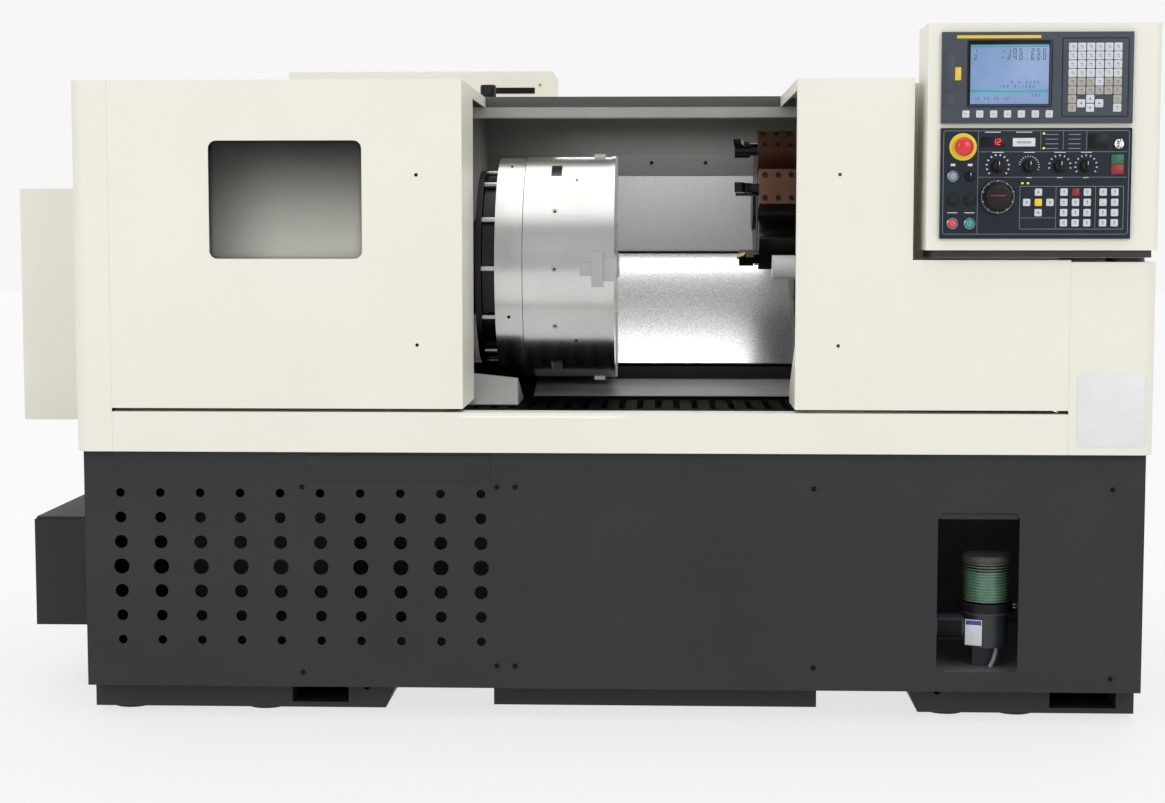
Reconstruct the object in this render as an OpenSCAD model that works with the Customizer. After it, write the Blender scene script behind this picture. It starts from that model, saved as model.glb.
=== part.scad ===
// CNC turning lathe with an angled bed, a four-jaw chuck, a turret and a tailstock.
// Front of the machine faces -Y, the spindle axis runs along X, and the floor is Z = 0.

/* [Enclosure] */
// Width of the painted enclosure
body_w = 2400; // [2380:5:2480]
// Height of the enclosure's top above the floor
body_top = 1435; // [1432:1:1470]
// Depth from the door faces to the back of the enclosure
body_d = 1380; // [1370:5:1500]
// Height of the joint between the base and the enclosure
sill_z = 610; // [600:1:615]
// Height of the fixed sill under the doors
sill_h = 90; // [80:1:95]
// Sheet thickness of the panels
skin = 3; // [2:0.5:3.5]
// Width of the left corner panel
left_corner_w = 85; // [75:1:95]
// Width of the right corner panel
right_corner_w = 190; // [180:1:200]
// Height of the top of the right corner panel
right_corner_top = 1035; // [1020:1:1038]
// Radius of the folded outer corners
corner_r = 30; // [15:1:40]
// Width of the box on the left side
side_box_w = 237; // [200:1:260]
// Depth of the electrical cabinet on the back
cabinet_d = 260; // [220:5:320]

/* [Doors] */
// Width of the left door
left_door_w = 788; // [770:1:800]
// Width of the right door
right_door_w = 600; // [590:1:610]
// Gap under the doors
door_gap = 8; // [6:0.5:9]
// Depth of the return at the left door's closing edge
door_return = 280; // [200:1:290]
// Depth of the return at the foot of the right door's closing edge
right_return = 200; // [150:1:290]
// Width of the window opening in the left door
window_w = 341; // [300:1:360]
// Height of the window opening
window_h = 261; // [220:1:280]
// Corner radius of the window opening
window_r = 18; // [10:1:30]
// Width of the recess for the control pendant in the right door
recess_w = 345; // [342:1:360]
// Depth of that recess
recess_d = 160; // [150:1:165]
// Height of the recess floor above the floor
recess_z = 1039; // [1038:0.5:1040]

/* [Base] */
// How far the base stands back from the enclosure's sides
base_inset = 12; // [8:1:15]
// How far the base stands back from the door faces
base_front = 25; // [15:1:35]
// Height of the underside of the base
base_z = 72; // [66:1:80]
// Columns of cooling vents
vent_columns = 10; // [6:1:10]
// Rows of cooling vents
vent_rows = 7; // [3:2:7]
// Spacing of the vent columns
vent_pitch_x = 90.7; // [80:0.1:92]
// Spacing of the vent rows
vent_pitch_z = 56; // [48:1:58]
// Diameter of the vents in the middle row
vent_d = 35; // [30:1:40]
// How much smaller each row is than the one nearer the middle
vent_step = 5; // [3:0.5:6]
// Width of the lubrication window
hatch_w = 181; // [172:1:200]
// Height of the lubrication window
hatch_h = 360; // [320:1:380]

/* [Spindle and chuck] */
// Depth of the spindle axis behind the door faces
axis_depth = 600; // [595:1:606]
// Height of the spindle axis above the floor
spindle_h = 1012; // [1008:1:1018]
// Tilt of the bed and the cross slide
slant = 30; // [29:0.5:31]
// Distance from the enclosure's left side to the chuck's face
chuck_face_reach = 1202; // [1190:1:1210]
// Outside diameter of the chuck
chuck_d = 546; // [500:1:552]
// Length of the chuck body
chuck_len = 208; // [190:1:215]
// Bore through the chuck and the spindle
spindle_bore = 80; // [50:1:100]
// Outside diameter of the spindle
spindle_d = 150; // [130:1:160]
// Outside diameter of the spindle pulley
spindle_pulley_d = 280; // [240:1:290]
// Outside diameter of the motor pulley
motor_pulley_d = 180; // [140:1:190]

/* [Turret and tailstock] */
// Distance from the spindle axis to the turret axis, along the slant
turret_reach = 300; // [299:0.5:303]
// Stations on the turret
stations = 8; // [8]
// Distance across the turret disc's flats
turret_across = 280; // [270:1:284]
// Thickness of the turret disc
turret_t = 100; // [90:1:104]
// Diameter of the boring bars
bar_d = 32; // [20:1:36]
// Side of the turning tool's square shank
shank = 25; // [20:1:27]
// Diameter of the tailstock quill
quill_d = 60; // [44:1:60]
// Length of the quill outside the tailstock's nose
quill_out = 90; // [80:1:100]
// Diameter of the socket in the quill
quill_socket_d = 24; // [16:1:30]

/* [Control pendant] */
// Width of the pendant
pendant_w = 502; // [480:1:506]
// Height of the pendant
pendant_h = 488; // [470:1:520]
// Depth of the pendant
pendant_d = 160; // [140:1:165]
// How far the pendant's front stands in front of the doors
pendant_front = 40; // [35:1:60]
// Width of the display unit and the operator panel
panel_w = 409; // [400:1:430]
// Height of the display unit
display_h = 195; // [190:1:205]
// Height of the operator panel
operator_h = 238; // [230:1:245]
// Thickness of both panels
bezel_t = 10; // [8:0.5:14]
// Diameter of the emergency stop's mushroom head
estop_d = 41; // [36:1:46]
// Diameter of the rotary selectors
selector_d = 30; // [24:1:32]
// Diameter of the push-buttons
button_d = 18; // [14:1:22]
// Diameter of the pulse handwheel's dial
dial_d = 76; // [66:1:80]

/* [Hidden] */
smooth = 64;
// How far every cut runs past the faces it cuts
over = 5;
// Radial clearance of shafts and plungers in their bores
fit = 0.05;
// Gap between separate parts that lie against each other or slide past each other
seam = 0.3;
// Clear gap beside parts that move past each other
clear_gap = 2;

// Controls that stand out of the pendant
estop_head_h = 15;
estop_h = 40;
plate_gap = 12;

// Overall frame: the origin is under the middle of everything the machine covers
cabinet_door_t = 3;
front_reach = pendant_front + bezel_t + estop_h;
overall_d = front_reach + body_d + cabinet_d + cabinet_door_t;
fy = front_reach - overall_d / 2;
cx = side_box_w / 2;
left_x = cx - body_w / 2;
right_x = cx + body_w / 2;
back_y = fy + body_d;
axis_y = fy + axis_depth;
sill_top = sill_z + sill_h;
door_z = sill_top + door_gap;
roof_z = body_top - skin;

// Chuck and spindle line, from the chuck's face back to the pulley
front_plate_t = 10;
chuck_ring_len = 66;
backplate_t = 69;
nose_t = 44;
headstock_len = 650;
pulley_w = 60;
face_x = left_x + chuck_face_reach;
chuck_front_x = face_x - front_plate_t;
chuck_back_x = chuck_front_x - chuck_len;
ring_back_x = chuck_back_x - chuck_ring_len;
nose_x = ring_back_x - backplate_t;
headstock_front_x = nose_x - nose_t - clear_gap;
headstock_back_x = headstock_front_x - headstock_len;
pulley_front_x = headstock_back_x - plate_gap;
pulley_back_x = pulley_front_x - pulley_w;
guard_x = nose_x - nose_t / 2;

// Depths below the spindle axis, measured square to the slant
cover_n = -290;
way_n = -400;
rail_h = 35;
rail_w = 34;
rail_t_low = 80;
rail_t_high = 480;
rail_reach = 293;
rail_start_x = headstock_front_x - rail_reach;
bed_t_low = -170;
bed_t_high = 540;
cover_len = 550;

// Carriage along X: the tool tip stands part of the way from the chuck's face to the bed's end
tip_share = 0.28817;
bed_end_margin = 150;
bed_end_x = right_x - bed_end_margin;
tool_out = 54;
carriage_len = 242;
tip_x = face_x + tip_share * (bed_end_x - face_x);
disc_x = tip_x + tool_out;
disc_end_x = disc_x + turret_t;
saddle_x = disc_end_x + clear_gap;
saddle_end_x = saddle_x + carriage_len;

module span_box(lo, hi) {
    translate(lo) cube(hi - lo);
}

module rod_x(r, x0, x1) {
    translate([x0, 0, 0]) rotate([0, 90, 0]) cylinder(r = r, h = x1 - x0, $fn = smooth);
}

module rod_y(r, y0, y1) {
    translate([0, y0, 0]) rotate([-90, 0, 0]) cylinder(r = r, h = y1 - y0, $fn = smooth);
}

module rod_z(r, z0, z1) {
    translate([0, 0, z0]) cylinder(r = r, h = z1 - z0, $fn = smooth);
}

// A slab in the XZ plane with round corners, its low corner at the origin
module round_slab(w, h, d, r) {
    translate([r, 0, 0]) cube([w - 2 * r, d, h]);
    translate([0, 0, r]) cube([w, d, h - 2 * r]);
    for (x = [r, w - r], z = [r, h - r])
        translate([x, 0, z]) rod_y(r, 0, d);
}

// An outline in Y and Z, carried along X
module along_x(x0, x1) {
    translate([x0, 0, 0]) rotate([90, 0, 90]) linear_extrude(height = x1 - x0) children();
}

// The frame of the slanted bed: X along the spindle, Y up the slant, Z square to it
module slanted() {
    translate([0, axis_y, spindle_h]) rotate([slant, 0, 0]) children();
}

module on_axis() {
    translate([0, axis_y, spindle_h]) children();
}

// Y and Z of a point given along the slant and square to it
function slant_point(t, n) = [
    axis_y + t * cos(slant) - n * sin(slant),
    spindle_h + t * sin(slant) + n * cos(slant)
];

// Cast bed on its floor slab
slab_z = base_z;
slab_t = 38;
slab_top = slab_z + slab_t;
slab_margin = 15;
bed_start_x = headstock_back_x - clear_gap;
screw_n = -372;
screw_t = 280;
z_screw_r = 16;
support_w = 40;
support_side = 60;
support_top_n = -345;
z_screw_reach = 270;
z_screw_x = headstock_front_x - z_screw_reach;
z_screw_end_x = bed_end_x;

module screw_support(x) {
    slanted() span_box(
        [x, screw_t - support_side / 2, way_n - over],
        [x + support_w, screw_t + support_side / 2, support_top_n]
    );
}

module bed_casting() {
    low = slant_point(bed_t_low, way_n);
    high = slant_point(bed_t_high, way_n);
    color("dimgray") difference() {
        union() {
            span_box(
                [left_x + base_inset + slab_margin, fy + base_front + slab_margin, slab_z],
                [right_x - base_inset - slab_margin, back_y - slab_margin, slab_top]
            );
            along_x(bed_start_x, bed_end_x) polygon([
                [low[0], slab_top - over], low, high, [high[0], slab_top - over]
            ]);
            screw_support(z_screw_x);
            screw_support(z_screw_end_x - support_w);
        }
        slanted() translate([0, screw_t, screw_n])
            rod_x(z_screw_r + fit, z_screw_x - over, z_screw_end_x + over);
    }
}

// Perforated front of the base, with the lubrication window
base_left_x = left_x + base_inset;
base_right_x = right_x - base_inset;
base_top = sill_z;
base_y = fy + base_front;
vent_margin_x = 82;
vent_margin_z = 96;
hatch_margin_x = 275;
hatch_z = 116;
hatch_r = 16;
hatch_x = base_right_x - hatch_margin_x - hatch_w;

module vents() {
    middle = (vent_rows - 1) / 2;
    for (column = [0 : vent_columns - 1], row = [0 : vent_rows - 1]) {
        d = vent_d - abs(row - middle) * vent_step;
        translate([
            base_left_x + vent_margin_x + column * vent_pitch_x, 0,
            base_top - vent_margin_z - row * vent_pitch_z
        ]) rod_y(d / 2, base_y - over, base_y + skin + over);
    }
}

module base_front_panel() {
    color("darkslategray") difference() {
        span_box([base_left_x, base_y, base_z], [base_right_x, base_y + skin, base_top]);
        vents();
        translate([hatch_x, base_y - over, hatch_z])
            round_slab(hatch_w, hatch_h, skin + 2 * over, hatch_r);
    }
}

module base_side_panels() {
    color("darkslategray") {
        for (x = [base_left_x, base_right_x - skin])
            span_box([x, base_y + skin, base_z], [x + skin, back_y, base_top]);
        span_box(
            [base_left_x + skin, back_y - skin, base_z],
            [base_right_x - skin, back_y, base_top]
        );
    }
}

// Feet with fork pockets, the middle plate and the levelling pads
pad_h = 10;
pad_r = 45;
pad_inset = 70;
foot_front = 90;
foot_back = 80;
plate_front = 130;
left_foot_w = 700;
right_foot_w = 516;
foot_slope = 28;
plate_margin_x = 918;
plate_w = 743;
plate_d = 20;
pocket_h = 38;
pocket_floor = 12;
left_pocket_x = 456;
left_pocket_w = 130;
right_pocket_x = 40;
right_pocket_w = 150;
bracket_hole_r = 9;
bracket_hole_deep = 40;
bracket_hole_z = 60;
bracket_hole_inset = 72;
foot_y = fy + foot_front;
foot_back_y = back_y - foot_back;
left_hole_x = base_left_x + left_foot_w - bracket_hole_inset;
right_hole_x = base_right_x - right_foot_w + bracket_hole_inset;

module foot_beam(x0, x1, slope_at_right) {
    low0 = slope_at_right ? x0 : x0 + foot_slope;
    low1 = slope_at_right ? x1 - foot_slope : x1;
    translate([0, foot_back_y, 0]) rotate([90, 0, 0])
        linear_extrude(height = foot_back_y - foot_y)
            polygon([[low0, pad_h], [low1, pad_h], [x1, base_z], [x0, base_z]]);
}

module fork_pocket(x, w) {
    z = pad_h + pocket_floor;
    span_box([x, foot_y - over, z], [x + w, foot_back_y + over, z + pocket_h]);
}

module bracket_hole(x) {
    translate([x, 0, bracket_hole_z]) rod_y(bracket_hole_r, foot_y - over, foot_y + bracket_hole_deep);
}

module feet() {
    color("darkslategray") {
        difference() {
            foot_beam(base_left_x, base_left_x + left_foot_w, true);
            fork_pocket(base_left_x + left_pocket_x, left_pocket_w);
            bracket_hole(left_hole_x);
        }
        difference() {
            foot_beam(base_right_x - right_foot_w, base_right_x, false);
            fork_pocket(base_right_x - right_pocket_x - right_pocket_w, right_pocket_w);
            bracket_hole(right_hole_x);
        }
        span_box(
            [base_left_x + plate_margin_x, fy + plate_front, pad_h],
            [base_left_x + plate_margin_x + plate_w, fy + plate_front + plate_d, base_z]
        );
        for (x = [base_left_x + pad_inset, base_left_x + left_pocket_x - pad_inset,
                  base_right_x - right_foot_w + foot_slope + pad_inset,
                  base_right_x - right_pocket_x - right_pocket_w - pad_inset],
             y = [foot_y + pad_inset, foot_back_y - pad_inset])
            translate([x, y, 0]) rod_z(pad_r, 0, pad_h);
    }
}

// Headstock with its bearings, spindle and pulley
headstock_side = 340;
headstock_foot_len = 317;
headstock_foot_low = -150;
headstock_foot_high = 450;
bearing_r = 110;
bearing_w = 60;
spindle_r = spindle_d / 2;
nose_r = 120;

module headstock() {
    half = headstock_side / 2;
    color("dimgray") slanted() difference() {
        union() {
            span_box([headstock_back_x, -half, -half], [headstock_front_x, half, half]);
            span_box(
                [headstock_back_x, headstock_foot_low, way_n],
                [headstock_back_x + headstock_foot_len, headstock_foot_high, -half + over]
            );
        }
        rod_x(bearing_r, headstock_back_x - over, headstock_front_x + over);
    }
}

module bearing(x) {
    difference() {
        rod_x(bearing_r - fit, x, x + bearing_w);
        rod_x(spindle_r + fit, x - over, x + bearing_w + over);
    }
}

module spindle_bearings() {
    color("silver") on_axis() {
        bearing(headstock_front_x - bearing_w);
        bearing(headstock_back_x);
    }
}

module spindle() {
    color("gainsboro") on_axis() difference() {
        union() {
            rod_x(spindle_r, pulley_back_x, nose_x);
            rod_x(nose_r, nose_x - nose_t, nose_x);
        }
        rod_x(spindle_bore / 2, pulley_back_x - over, nose_x + over);
    }
}

// Pulleys, belt and main motor behind the vents
pulley_lip = 8;
pulley_lip_t = 5;
belt_t = 8;
motor_depth = 400;
motor_z = 330;
motor_side = 280;
motor_len = 400;
motor_shaft_r = 24;
motor_front_x = pulley_front_x + plate_gap + motor_len;
motor_back_x = pulley_front_x + plate_gap;
motor_foot_w = 60;
motor_y = fy + motor_depth;

module on_motor() {
    translate([0, motor_y, motor_z]) children();
}

module pulley(r, bore_r) {
    difference() {
        union() {
            rod_x(r, pulley_back_x, pulley_front_x);
            rod_x(r + pulley_lip, pulley_back_x, pulley_back_x + pulley_lip_t);
            rod_x(r + pulley_lip, pulley_front_x - pulley_lip_t, pulley_front_x);
        }
        rod_x(bore_r, pulley_back_x - over, pulley_front_x + over);
    }
}

module spindle_pulley() {
    color("silver") on_axis() pulley(spindle_pulley_d / 2, spindle_r + fit);
}

module motor_pulley() {
    color("silver") on_motor() pulley(motor_pulley_d / 2, motor_shaft_r + fit);
}

module belt_loop(extra, x0, x1) {
    hull() {
        on_axis() rod_x(spindle_pulley_d / 2 + extra, x0, x1);
        on_motor() rod_x(motor_pulley_d / 2 + extra, x0, x1);
    }
}

module drive_belt() {
    x0 = pulley_back_x + pulley_lip_t + clear_gap;
    x1 = pulley_front_x - pulley_lip_t - clear_gap;
    color("black") difference() {
        belt_loop(seam + belt_t, x0, x1);
        belt_loop(2 * seam, x0 - over, x1 + over);
    }
}

module main_motor() {
    half = motor_side / 2;
    color("slategray") {
        on_motor() {
            span_box([motor_back_x, -half, -half], [motor_front_x, half, half]);
            rod_x(motor_shaft_r, pulley_back_x, motor_back_x + over);
        }
        for (y = [motor_y - half, motor_y + half - motor_foot_w])
            span_box([motor_back_x, y, slab_top], [motor_front_x, y + motor_foot_w, motor_z - half + over]);
    }
}

// Chuck: back plate with its air distributor studs, ring and body, front plate and jaws
chuck_r = chuck_d / 2;
plate_lip = 2;
ring_step = 2;
backplate_r = 225;
distributor_t = 14;
distributor_back = 20;
distributor_r = 240;
stud_r = 6;
stud_ring_r = 233;
stud_count = 12;
jaw_bar_w = 30;
jaw_wing_w = 84;
jaw_wing_len = 27;
jaw_nose_w = 56;
jaw_nose_len = 30;
jaw_len = 84;
jaw_proud_x = 4;
jaw_proud_r = 6;
jaw_sunk_r = 1;
jaw_in_r = 110;
jaw_slot_r = 98;
plug_r = 7;
plug_deep = 6;
plug_count = 12;
plug_x_share = 0.368;
pocket_w = 26;
pocket_len = 52;
pocket_deep = 12;

module chuck_backplate() {
    bore = spindle_bore / 2;
    plate_x = nose_x + distributor_back;
    color("darkslategray") on_axis() difference() {
        union() {
            rod_x(nose_r, nose_x, ring_back_x);
            rod_x(backplate_r, plate_x + distributor_t + clear_gap, ring_back_x);
            rod_x(distributor_r, plate_x, plate_x + distributor_t);
            for (i = [0 : stud_count - 1])
                rotate([i * 360 / stud_count, 0, 0]) translate([0, 0, stud_ring_r])
                    rod_x(stud_r, plate_x, ring_back_x);
        }
        rod_x(bore, nose_x - over, ring_back_x + over);
    }
}

// One jaw's section: a bar along X, wings across it that stand proud, and a wider nose at the chuck's face
module jaw_section(grow, r0, bar_r, wing_r) {
    x1 = face_x + jaw_proud_x;
    wing_x1 = x1 - jaw_nose_len;
    span_box(
        [x1 - jaw_len - grow, -jaw_bar_w / 2 - grow, r0],
        [x1 + grow, jaw_bar_w / 2 + grow, bar_r]
    );
    span_box(
        [wing_x1 - jaw_wing_len - grow, -jaw_wing_w / 2 - grow, r0],
        [wing_x1 + grow, jaw_wing_w / 2 + grow, wing_r]
    );
    span_box(
        [wing_x1 - grow, -jaw_nose_w / 2 - grow, r0],
        [x1 + grow, jaw_nose_w / 2 + grow, bar_r]
    );
}

module jaw(turn) {
    color("gainsboro") on_axis() rotate([turn, 0, 0])
        jaw_section(0, jaw_in_r, chuck_r - jaw_sunk_r, chuck_r + jaw_proud_r);
}

module jaw_slots() {
    slot_r = chuck_r + jaw_proud_r + over;
    for (turn = [0, 90, 180, 270])
        rotate([turn, 0, 0]) jaw_section(seam, jaw_slot_r, slot_r, slot_r);
}

module chuck_body() {
    plug_x = chuck_back_x + plug_x_share * chuck_len;
    color("silver") on_axis() difference() {
        union() {
            rod_x(chuck_r, chuck_back_x, chuck_front_x);
            rod_x(chuck_r - ring_step, ring_back_x, chuck_back_x);
        }
        rod_x(spindle_bore / 2, ring_back_x - over, chuck_front_x + over);
        jaw_slots();
        for (i = [0 : plug_count - 1])
            rotate([i * 360 / plug_count, 0, 0]) translate([plug_x, 0, chuck_r]) {
                if (i % 6 == 1 || i % 6 == 5)
                    span_box([-pocket_w / 2, -pocket_len / 2, -pocket_deep], [pocket_w / 2, pocket_len / 2, over]);
                else
                    rod_z(plug_r, -plug_deep, over);
            }
    }
}

module chuck_front_plate() {
    color("gainsboro") on_axis() difference() {
        rod_x(chuck_r + plate_lip, chuck_front_x, face_x);
        rod_x(spindle_bore / 2, chuck_front_x - over, face_x + over);
        jaw_slots();
    }
}

module jaw_1() {
    jaw(0);
}

module jaw_2() {
    jaw(90);
}

module jaw_3() {
    jaw(180);
}

module jaw_4() {
    jaw(270);
}

// Sheet walls of the work area: back wall, headstock guard and the fixed inner front panels
wall_depth = 1226;
wall_y = fy + wall_depth;
wall_z = 1043;
tray_depth = 60;
tray_z = 684;
guard_front = 33;
guard_hole_margin = 30;
inner_left = 30;
inner_right = 170;
right_panel_margin = 15;
foot_depth = 356;
foot_w = 142;
foot_high = 767;
foot_low = 752;

module headstock_guard() {
    under = slant_point(0, cover_n + skin + clear_gap);
    up = slant_point(cover_len, cover_n + skin + clear_gap);
    difference() {
        along_x(guard_x, guard_x + skin) polygon([
            [fy + guard_front, sill_top + seam], [fy + tray_depth + seam, sill_top + seam],
            [fy + tray_depth + seam, tray_z - skin], [under[0] - plate_gap, tray_z - skin],
            [under[0] - plate_gap, under[1]], under, up, [wall_y, up[1]],
            [wall_y, roof_z - seam], [fy + guard_front, roof_z - seam]
        ]);
        on_axis() rod_x(nose_r + guard_hole_margin, guard_x - over, guard_x + skin + over);
        span_box(
            [guard_x - over, header_y - seam, header_z - seam],
            [guard_x + skin + over, header_y + header_d + seam, roof_z + over]
        );
    }
}

// Folded foot of the headstock guard, under the back of the chuck
module guard_foot() {
    x0 = guard_x + skin + seam;
    x1 = x0 + foot_w;
    y0 = fy + foot_depth;
    y1 = fy + ledge_front - skin - plate_gap;
    z0 = tray_z + clear_gap;
    translate([0, y0 + skin, 0]) rotate([90, 0, 0]) linear_extrude(height = skin)
        polygon([[x0, z0], [x1, z0], [x1, foot_low], [x0, foot_high]]);
    along_x(x1 - skin, x1) polygon([[y0, z0], [y1, z0], [y1, ledge_low], [y0, foot_low]]);
}

module splash_walls() {
    inner_x = left_x + left_corner_w;
    right_panel_x = right_x - right_corner_w - right_door_w + right_panel_margin;
    color("gray") {
        headstock_guard();
        guard_foot();
        span_box([guard_x + skin + seam, wall_y, wall_z], [right_x - skin, wall_y + skin, roof_z]);
        span_box(
            [inner_x, fy + inner_left, sill_top],
            [guard_x + skin, fy + inner_left + skin, roof_z - skin]
        );
        span_box(
            [right_panel_x, fy + inner_right, sill_top],
            [right_x - skin, fy + inner_right + skin, roof_z - seam]
        );
    }
}

// Chip tray: strip under the way cover, sloping ledge and slotted floor
tray_len = 1000;
tray_slots = 22;
tray_slot_w = 16;
tray_slot_start = 300;
tray_slot_len = 230;
ledge_back = 740;
ledge_front = 560;
ledge_high = 722;
ledge_low = 692;
strip_top = 755;

module chip_tray() {
    x0 = guard_x + skin;
    x1 = x0 + tray_len;
    pitch = tray_len / (tray_slots + 1);
    front = fy + tray_depth;
    color("dimgray") difference() {
        along_x(x0, x1) polygon([
            [front, sill_top], [front, tray_z - skin], [fy + ledge_front, tray_z - skin],
            [fy + ledge_front, ledge_low - skin], [fy + ledge_back, ledge_high - skin],
            [fy + ledge_back, strip_top], [fy + ledge_back - skin, strip_top],
            [fy + ledge_back - skin, ledge_high], [fy + ledge_front - skin, ledge_low],
            [fy + ledge_front - skin, tray_z], [front + skin, tray_z], [front + skin, sill_top]
        ]);
        for (i = [1 : tray_slots])
            span_box(
                [x0 + i * pitch - tray_slot_w / 2, fy + tray_slot_start, tray_z - skin - over],
                [x0 + i * pitch + tray_slot_w / 2, fy + tray_slot_start + tray_slot_len, tray_z + over]
            );
    }
}

// Painted front: left corner, sill and right corner, each with its folded edges

// Upright with one round folded corner at its low X, low Y edge
module folded_corner(w, leg, z0, z1, r) {
    difference() {
        union() {
            span_box([r, 0, z0], [w, leg, z1]);
            span_box([0, r, z0], [r + over, leg, z1]);
            translate([r, r, 0]) rod_z(r, z0, z1);
        }
        difference() {
            union() {
                span_box([r, skin, z0 - over], [w + over, leg + over, z1 + over]);
                span_box([skin, r, z0 - over], [r + over, leg + over, z1 + over]);
                translate([r, r, 0]) rod_z(r - skin, z0 - over, z1 + over);
            }
            span_box([0, 0, z1 - skin], [w, leg, z1]);
        }
    }
}

// Way for bar stock through the left side to the spindle's bore
bar_way_margin = 15;

module bar_way() {
    on_axis() rod_x(spindle_bore / 2 + bar_way_margin, left_x - side_box_w - over, left_x + skin + over);
}

module front_panels() {
    color("ivory") {
        difference() {
            translate([left_x, fy, 0])
                folded_corner(left_corner_w - seam, roof_depth, sill_z, body_top, corner_r);
            bar_way();
        }
        translate([right_x, fy, 0]) mirror([1, 0, 0])
            folded_corner(right_corner_w - seam, inner_right, sill_z, right_corner_top, corner_r);
        span_box([left_x + left_corner_w, fy, sill_z], [right_x - right_corner_w, fy + skin, sill_top]);
        for (z = [sill_z, sill_top - skin])
            span_box(
                [left_x + left_corner_w, fy + skin - seam, z],
                [right_x - right_corner_w, fy + tray_depth, z + skin]
            );
    }
}

// Header rail that carries the backs of the doors
header_depth = 640;
header_d = 50;
header_h = 47;
header_y = fy + header_depth;
header_top = roof_z - seam;
header_z = header_top - header_h;

module header_rail() {
    lip = skin;
    color("gray") difference() {
        span_box([left_x + skin, header_y, header_z], [right_x - skin, header_y + header_d, header_top]);
        span_box(
            [left_x + skin - over, header_y + lip, header_z + lip],
            [right_x - skin + over, header_y + header_d + over, header_top - lip]
        );
    }
}

// Sides, roof and back of the enclosure, the box on the roof and the box on the left side
roof_depth = 692;
top_box_left = 332;
top_box_w = 697;
top_box_depth = 900;
top_box_d = 300;
top_box_h = 84;
side_box_depth = 400;
side_box_d = 600;
side_box_z = 644;
side_box_h = 560;

module rear_enclosure() {
    top_x = left_x + top_box_left;
    top_y = fy + top_box_depth;
    side_y = fy + side_box_depth;
    color("ivory") {
        span_box([left_x, fy + roof_depth + seam, sill_z], [left_x + skin, back_y, body_top]);
        span_box([right_x - skin, fy + inner_right + seam, sill_z], [right_x, back_y, body_top]);
        span_box([left_x, fy + roof_depth + seam, roof_z], [right_x, back_y, body_top]);
        span_box(
            [right_x - right_corner_w + seam, fy + inner_right + seam, roof_z],
            [right_x, back_y, body_top]
        );
        span_box([left_x, back_y - skin, sill_z], [right_x, back_y, body_top]);
        difference() {
            span_box(
                [top_x, top_y, body_top + seam],
                [top_x + top_box_w, top_y + top_box_d, body_top + top_box_h]
            );
            span_box(
                [top_x + skin, top_y + skin, body_top - over],
                [top_x + top_box_w - skin, top_y + top_box_d - skin, body_top + top_box_h - skin]
            );
        }
        difference() {
            span_box(
                [left_x - side_box_w, side_y, side_box_z],
                [left_x - seam, side_y + side_box_d, side_box_z + side_box_h]
            );
            span_box(
                [left_x - side_box_w + skin, side_y + skin, side_box_z + skin],
                [left_x + over, side_y + side_box_d - skin, side_box_z + side_box_h - skin]
            );
            bar_way();
        }
    }
}

// Electrical cabinet on the back, with control gear on its mounting plate, and its hinged door
cabinet_left = 200;
cabinet_w = 1100;
cabinet_z = 350;
cabinet_h = 1050;
cabinet_x = left_x + cabinet_left;
cabinet_end_x = cabinet_x + cabinet_w;
cabinet_back_y = back_y + cabinet_d;
hinge_r = 8;
hinge_pin_r = 5;
hinge_x = cabinet_end_x + hinge_r + clear_gap;
hinge_y = cabinet_back_y + cabinet_door_t - hinge_r;
hinge_len = 60;
hinge_share = 0.15;
hinge_zs = [cabinet_z + hinge_share * cabinet_h, cabinet_z + (1 - hinge_share) * cabinet_h];
gear_d = 130;
gear_h = 260;
gear_columns = 4;
gear_rows = 2;
gear_gap = 40;
gland_r = 25;

module hinge_lug(z0, z1) {
    span_box([cabinet_end_x - skin, hinge_y - hinge_r, z0], [hinge_x, hinge_y, z1]);
    translate([hinge_x, hinge_y, 0]) rod_z(hinge_r, z0, z1);
}

module electric_cabinet() {
    gear_w = (cabinet_w - gear_gap) / gear_columns - gear_gap;
    pitch_z = cabinet_h / gear_rows;
    color("ivory") {
        difference() {
            span_box([cabinet_x, back_y, cabinet_z], [cabinet_end_x, cabinet_back_y, cabinet_z + cabinet_h]);
            span_box(
                [cabinet_x + skin, back_y + skin, cabinet_z + skin],
                [cabinet_end_x - skin, cabinet_back_y + over, cabinet_z + cabinet_h - skin]
            );
            translate([cabinet_end_x - gland_r * 3, back_y + cabinet_d / 2, 0])
                rod_z(gland_r, cabinet_z - over, cabinet_z + skin + over);
        }
        for (z = hinge_zs) {
            hinge_lug(z - hinge_len / 2, z);
            translate([hinge_x, hinge_y, 0]) rod_z(hinge_pin_r, z - over, z + hinge_len / 2);
        }
        for (column = [0 : gear_columns - 1], row = [0 : gear_rows - 1])
            translate([
                cabinet_x + gear_gap + column * (gear_w + gear_gap), back_y + skin + seam,
                cabinet_z + row * pitch_z + (pitch_z - gear_h) / 2
            ]) cube([gear_w, gear_d, gear_h]);
    }
}

module cabinet_door() {
    color("ivory") difference() {
        union() {
            span_box(
                [cabinet_x, cabinet_back_y, cabinet_z],
                [hinge_x, cabinet_back_y + cabinet_door_t, cabinet_z + cabinet_h]
            );
            for (z = hinge_zs)
                translate([hinge_x, hinge_y, 0]) rod_z(hinge_r, z + seam, z + hinge_len / 2);
        }
        for (z = hinge_zs)
            translate([hinge_x, hinge_y, 0]) rod_z(hinge_pin_r + fit, z - over, z + hinge_len / 2 + over);
        for (z = hinge_zs)
            span_box(
                [cabinet_end_x, hinge_y - hinge_r - over, z - hinge_len / 2 - seam],
                [hinge_x + hinge_r + over, cabinet_back_y + cabinet_door_t + over, z + seam]
            );
    }
}

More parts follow.
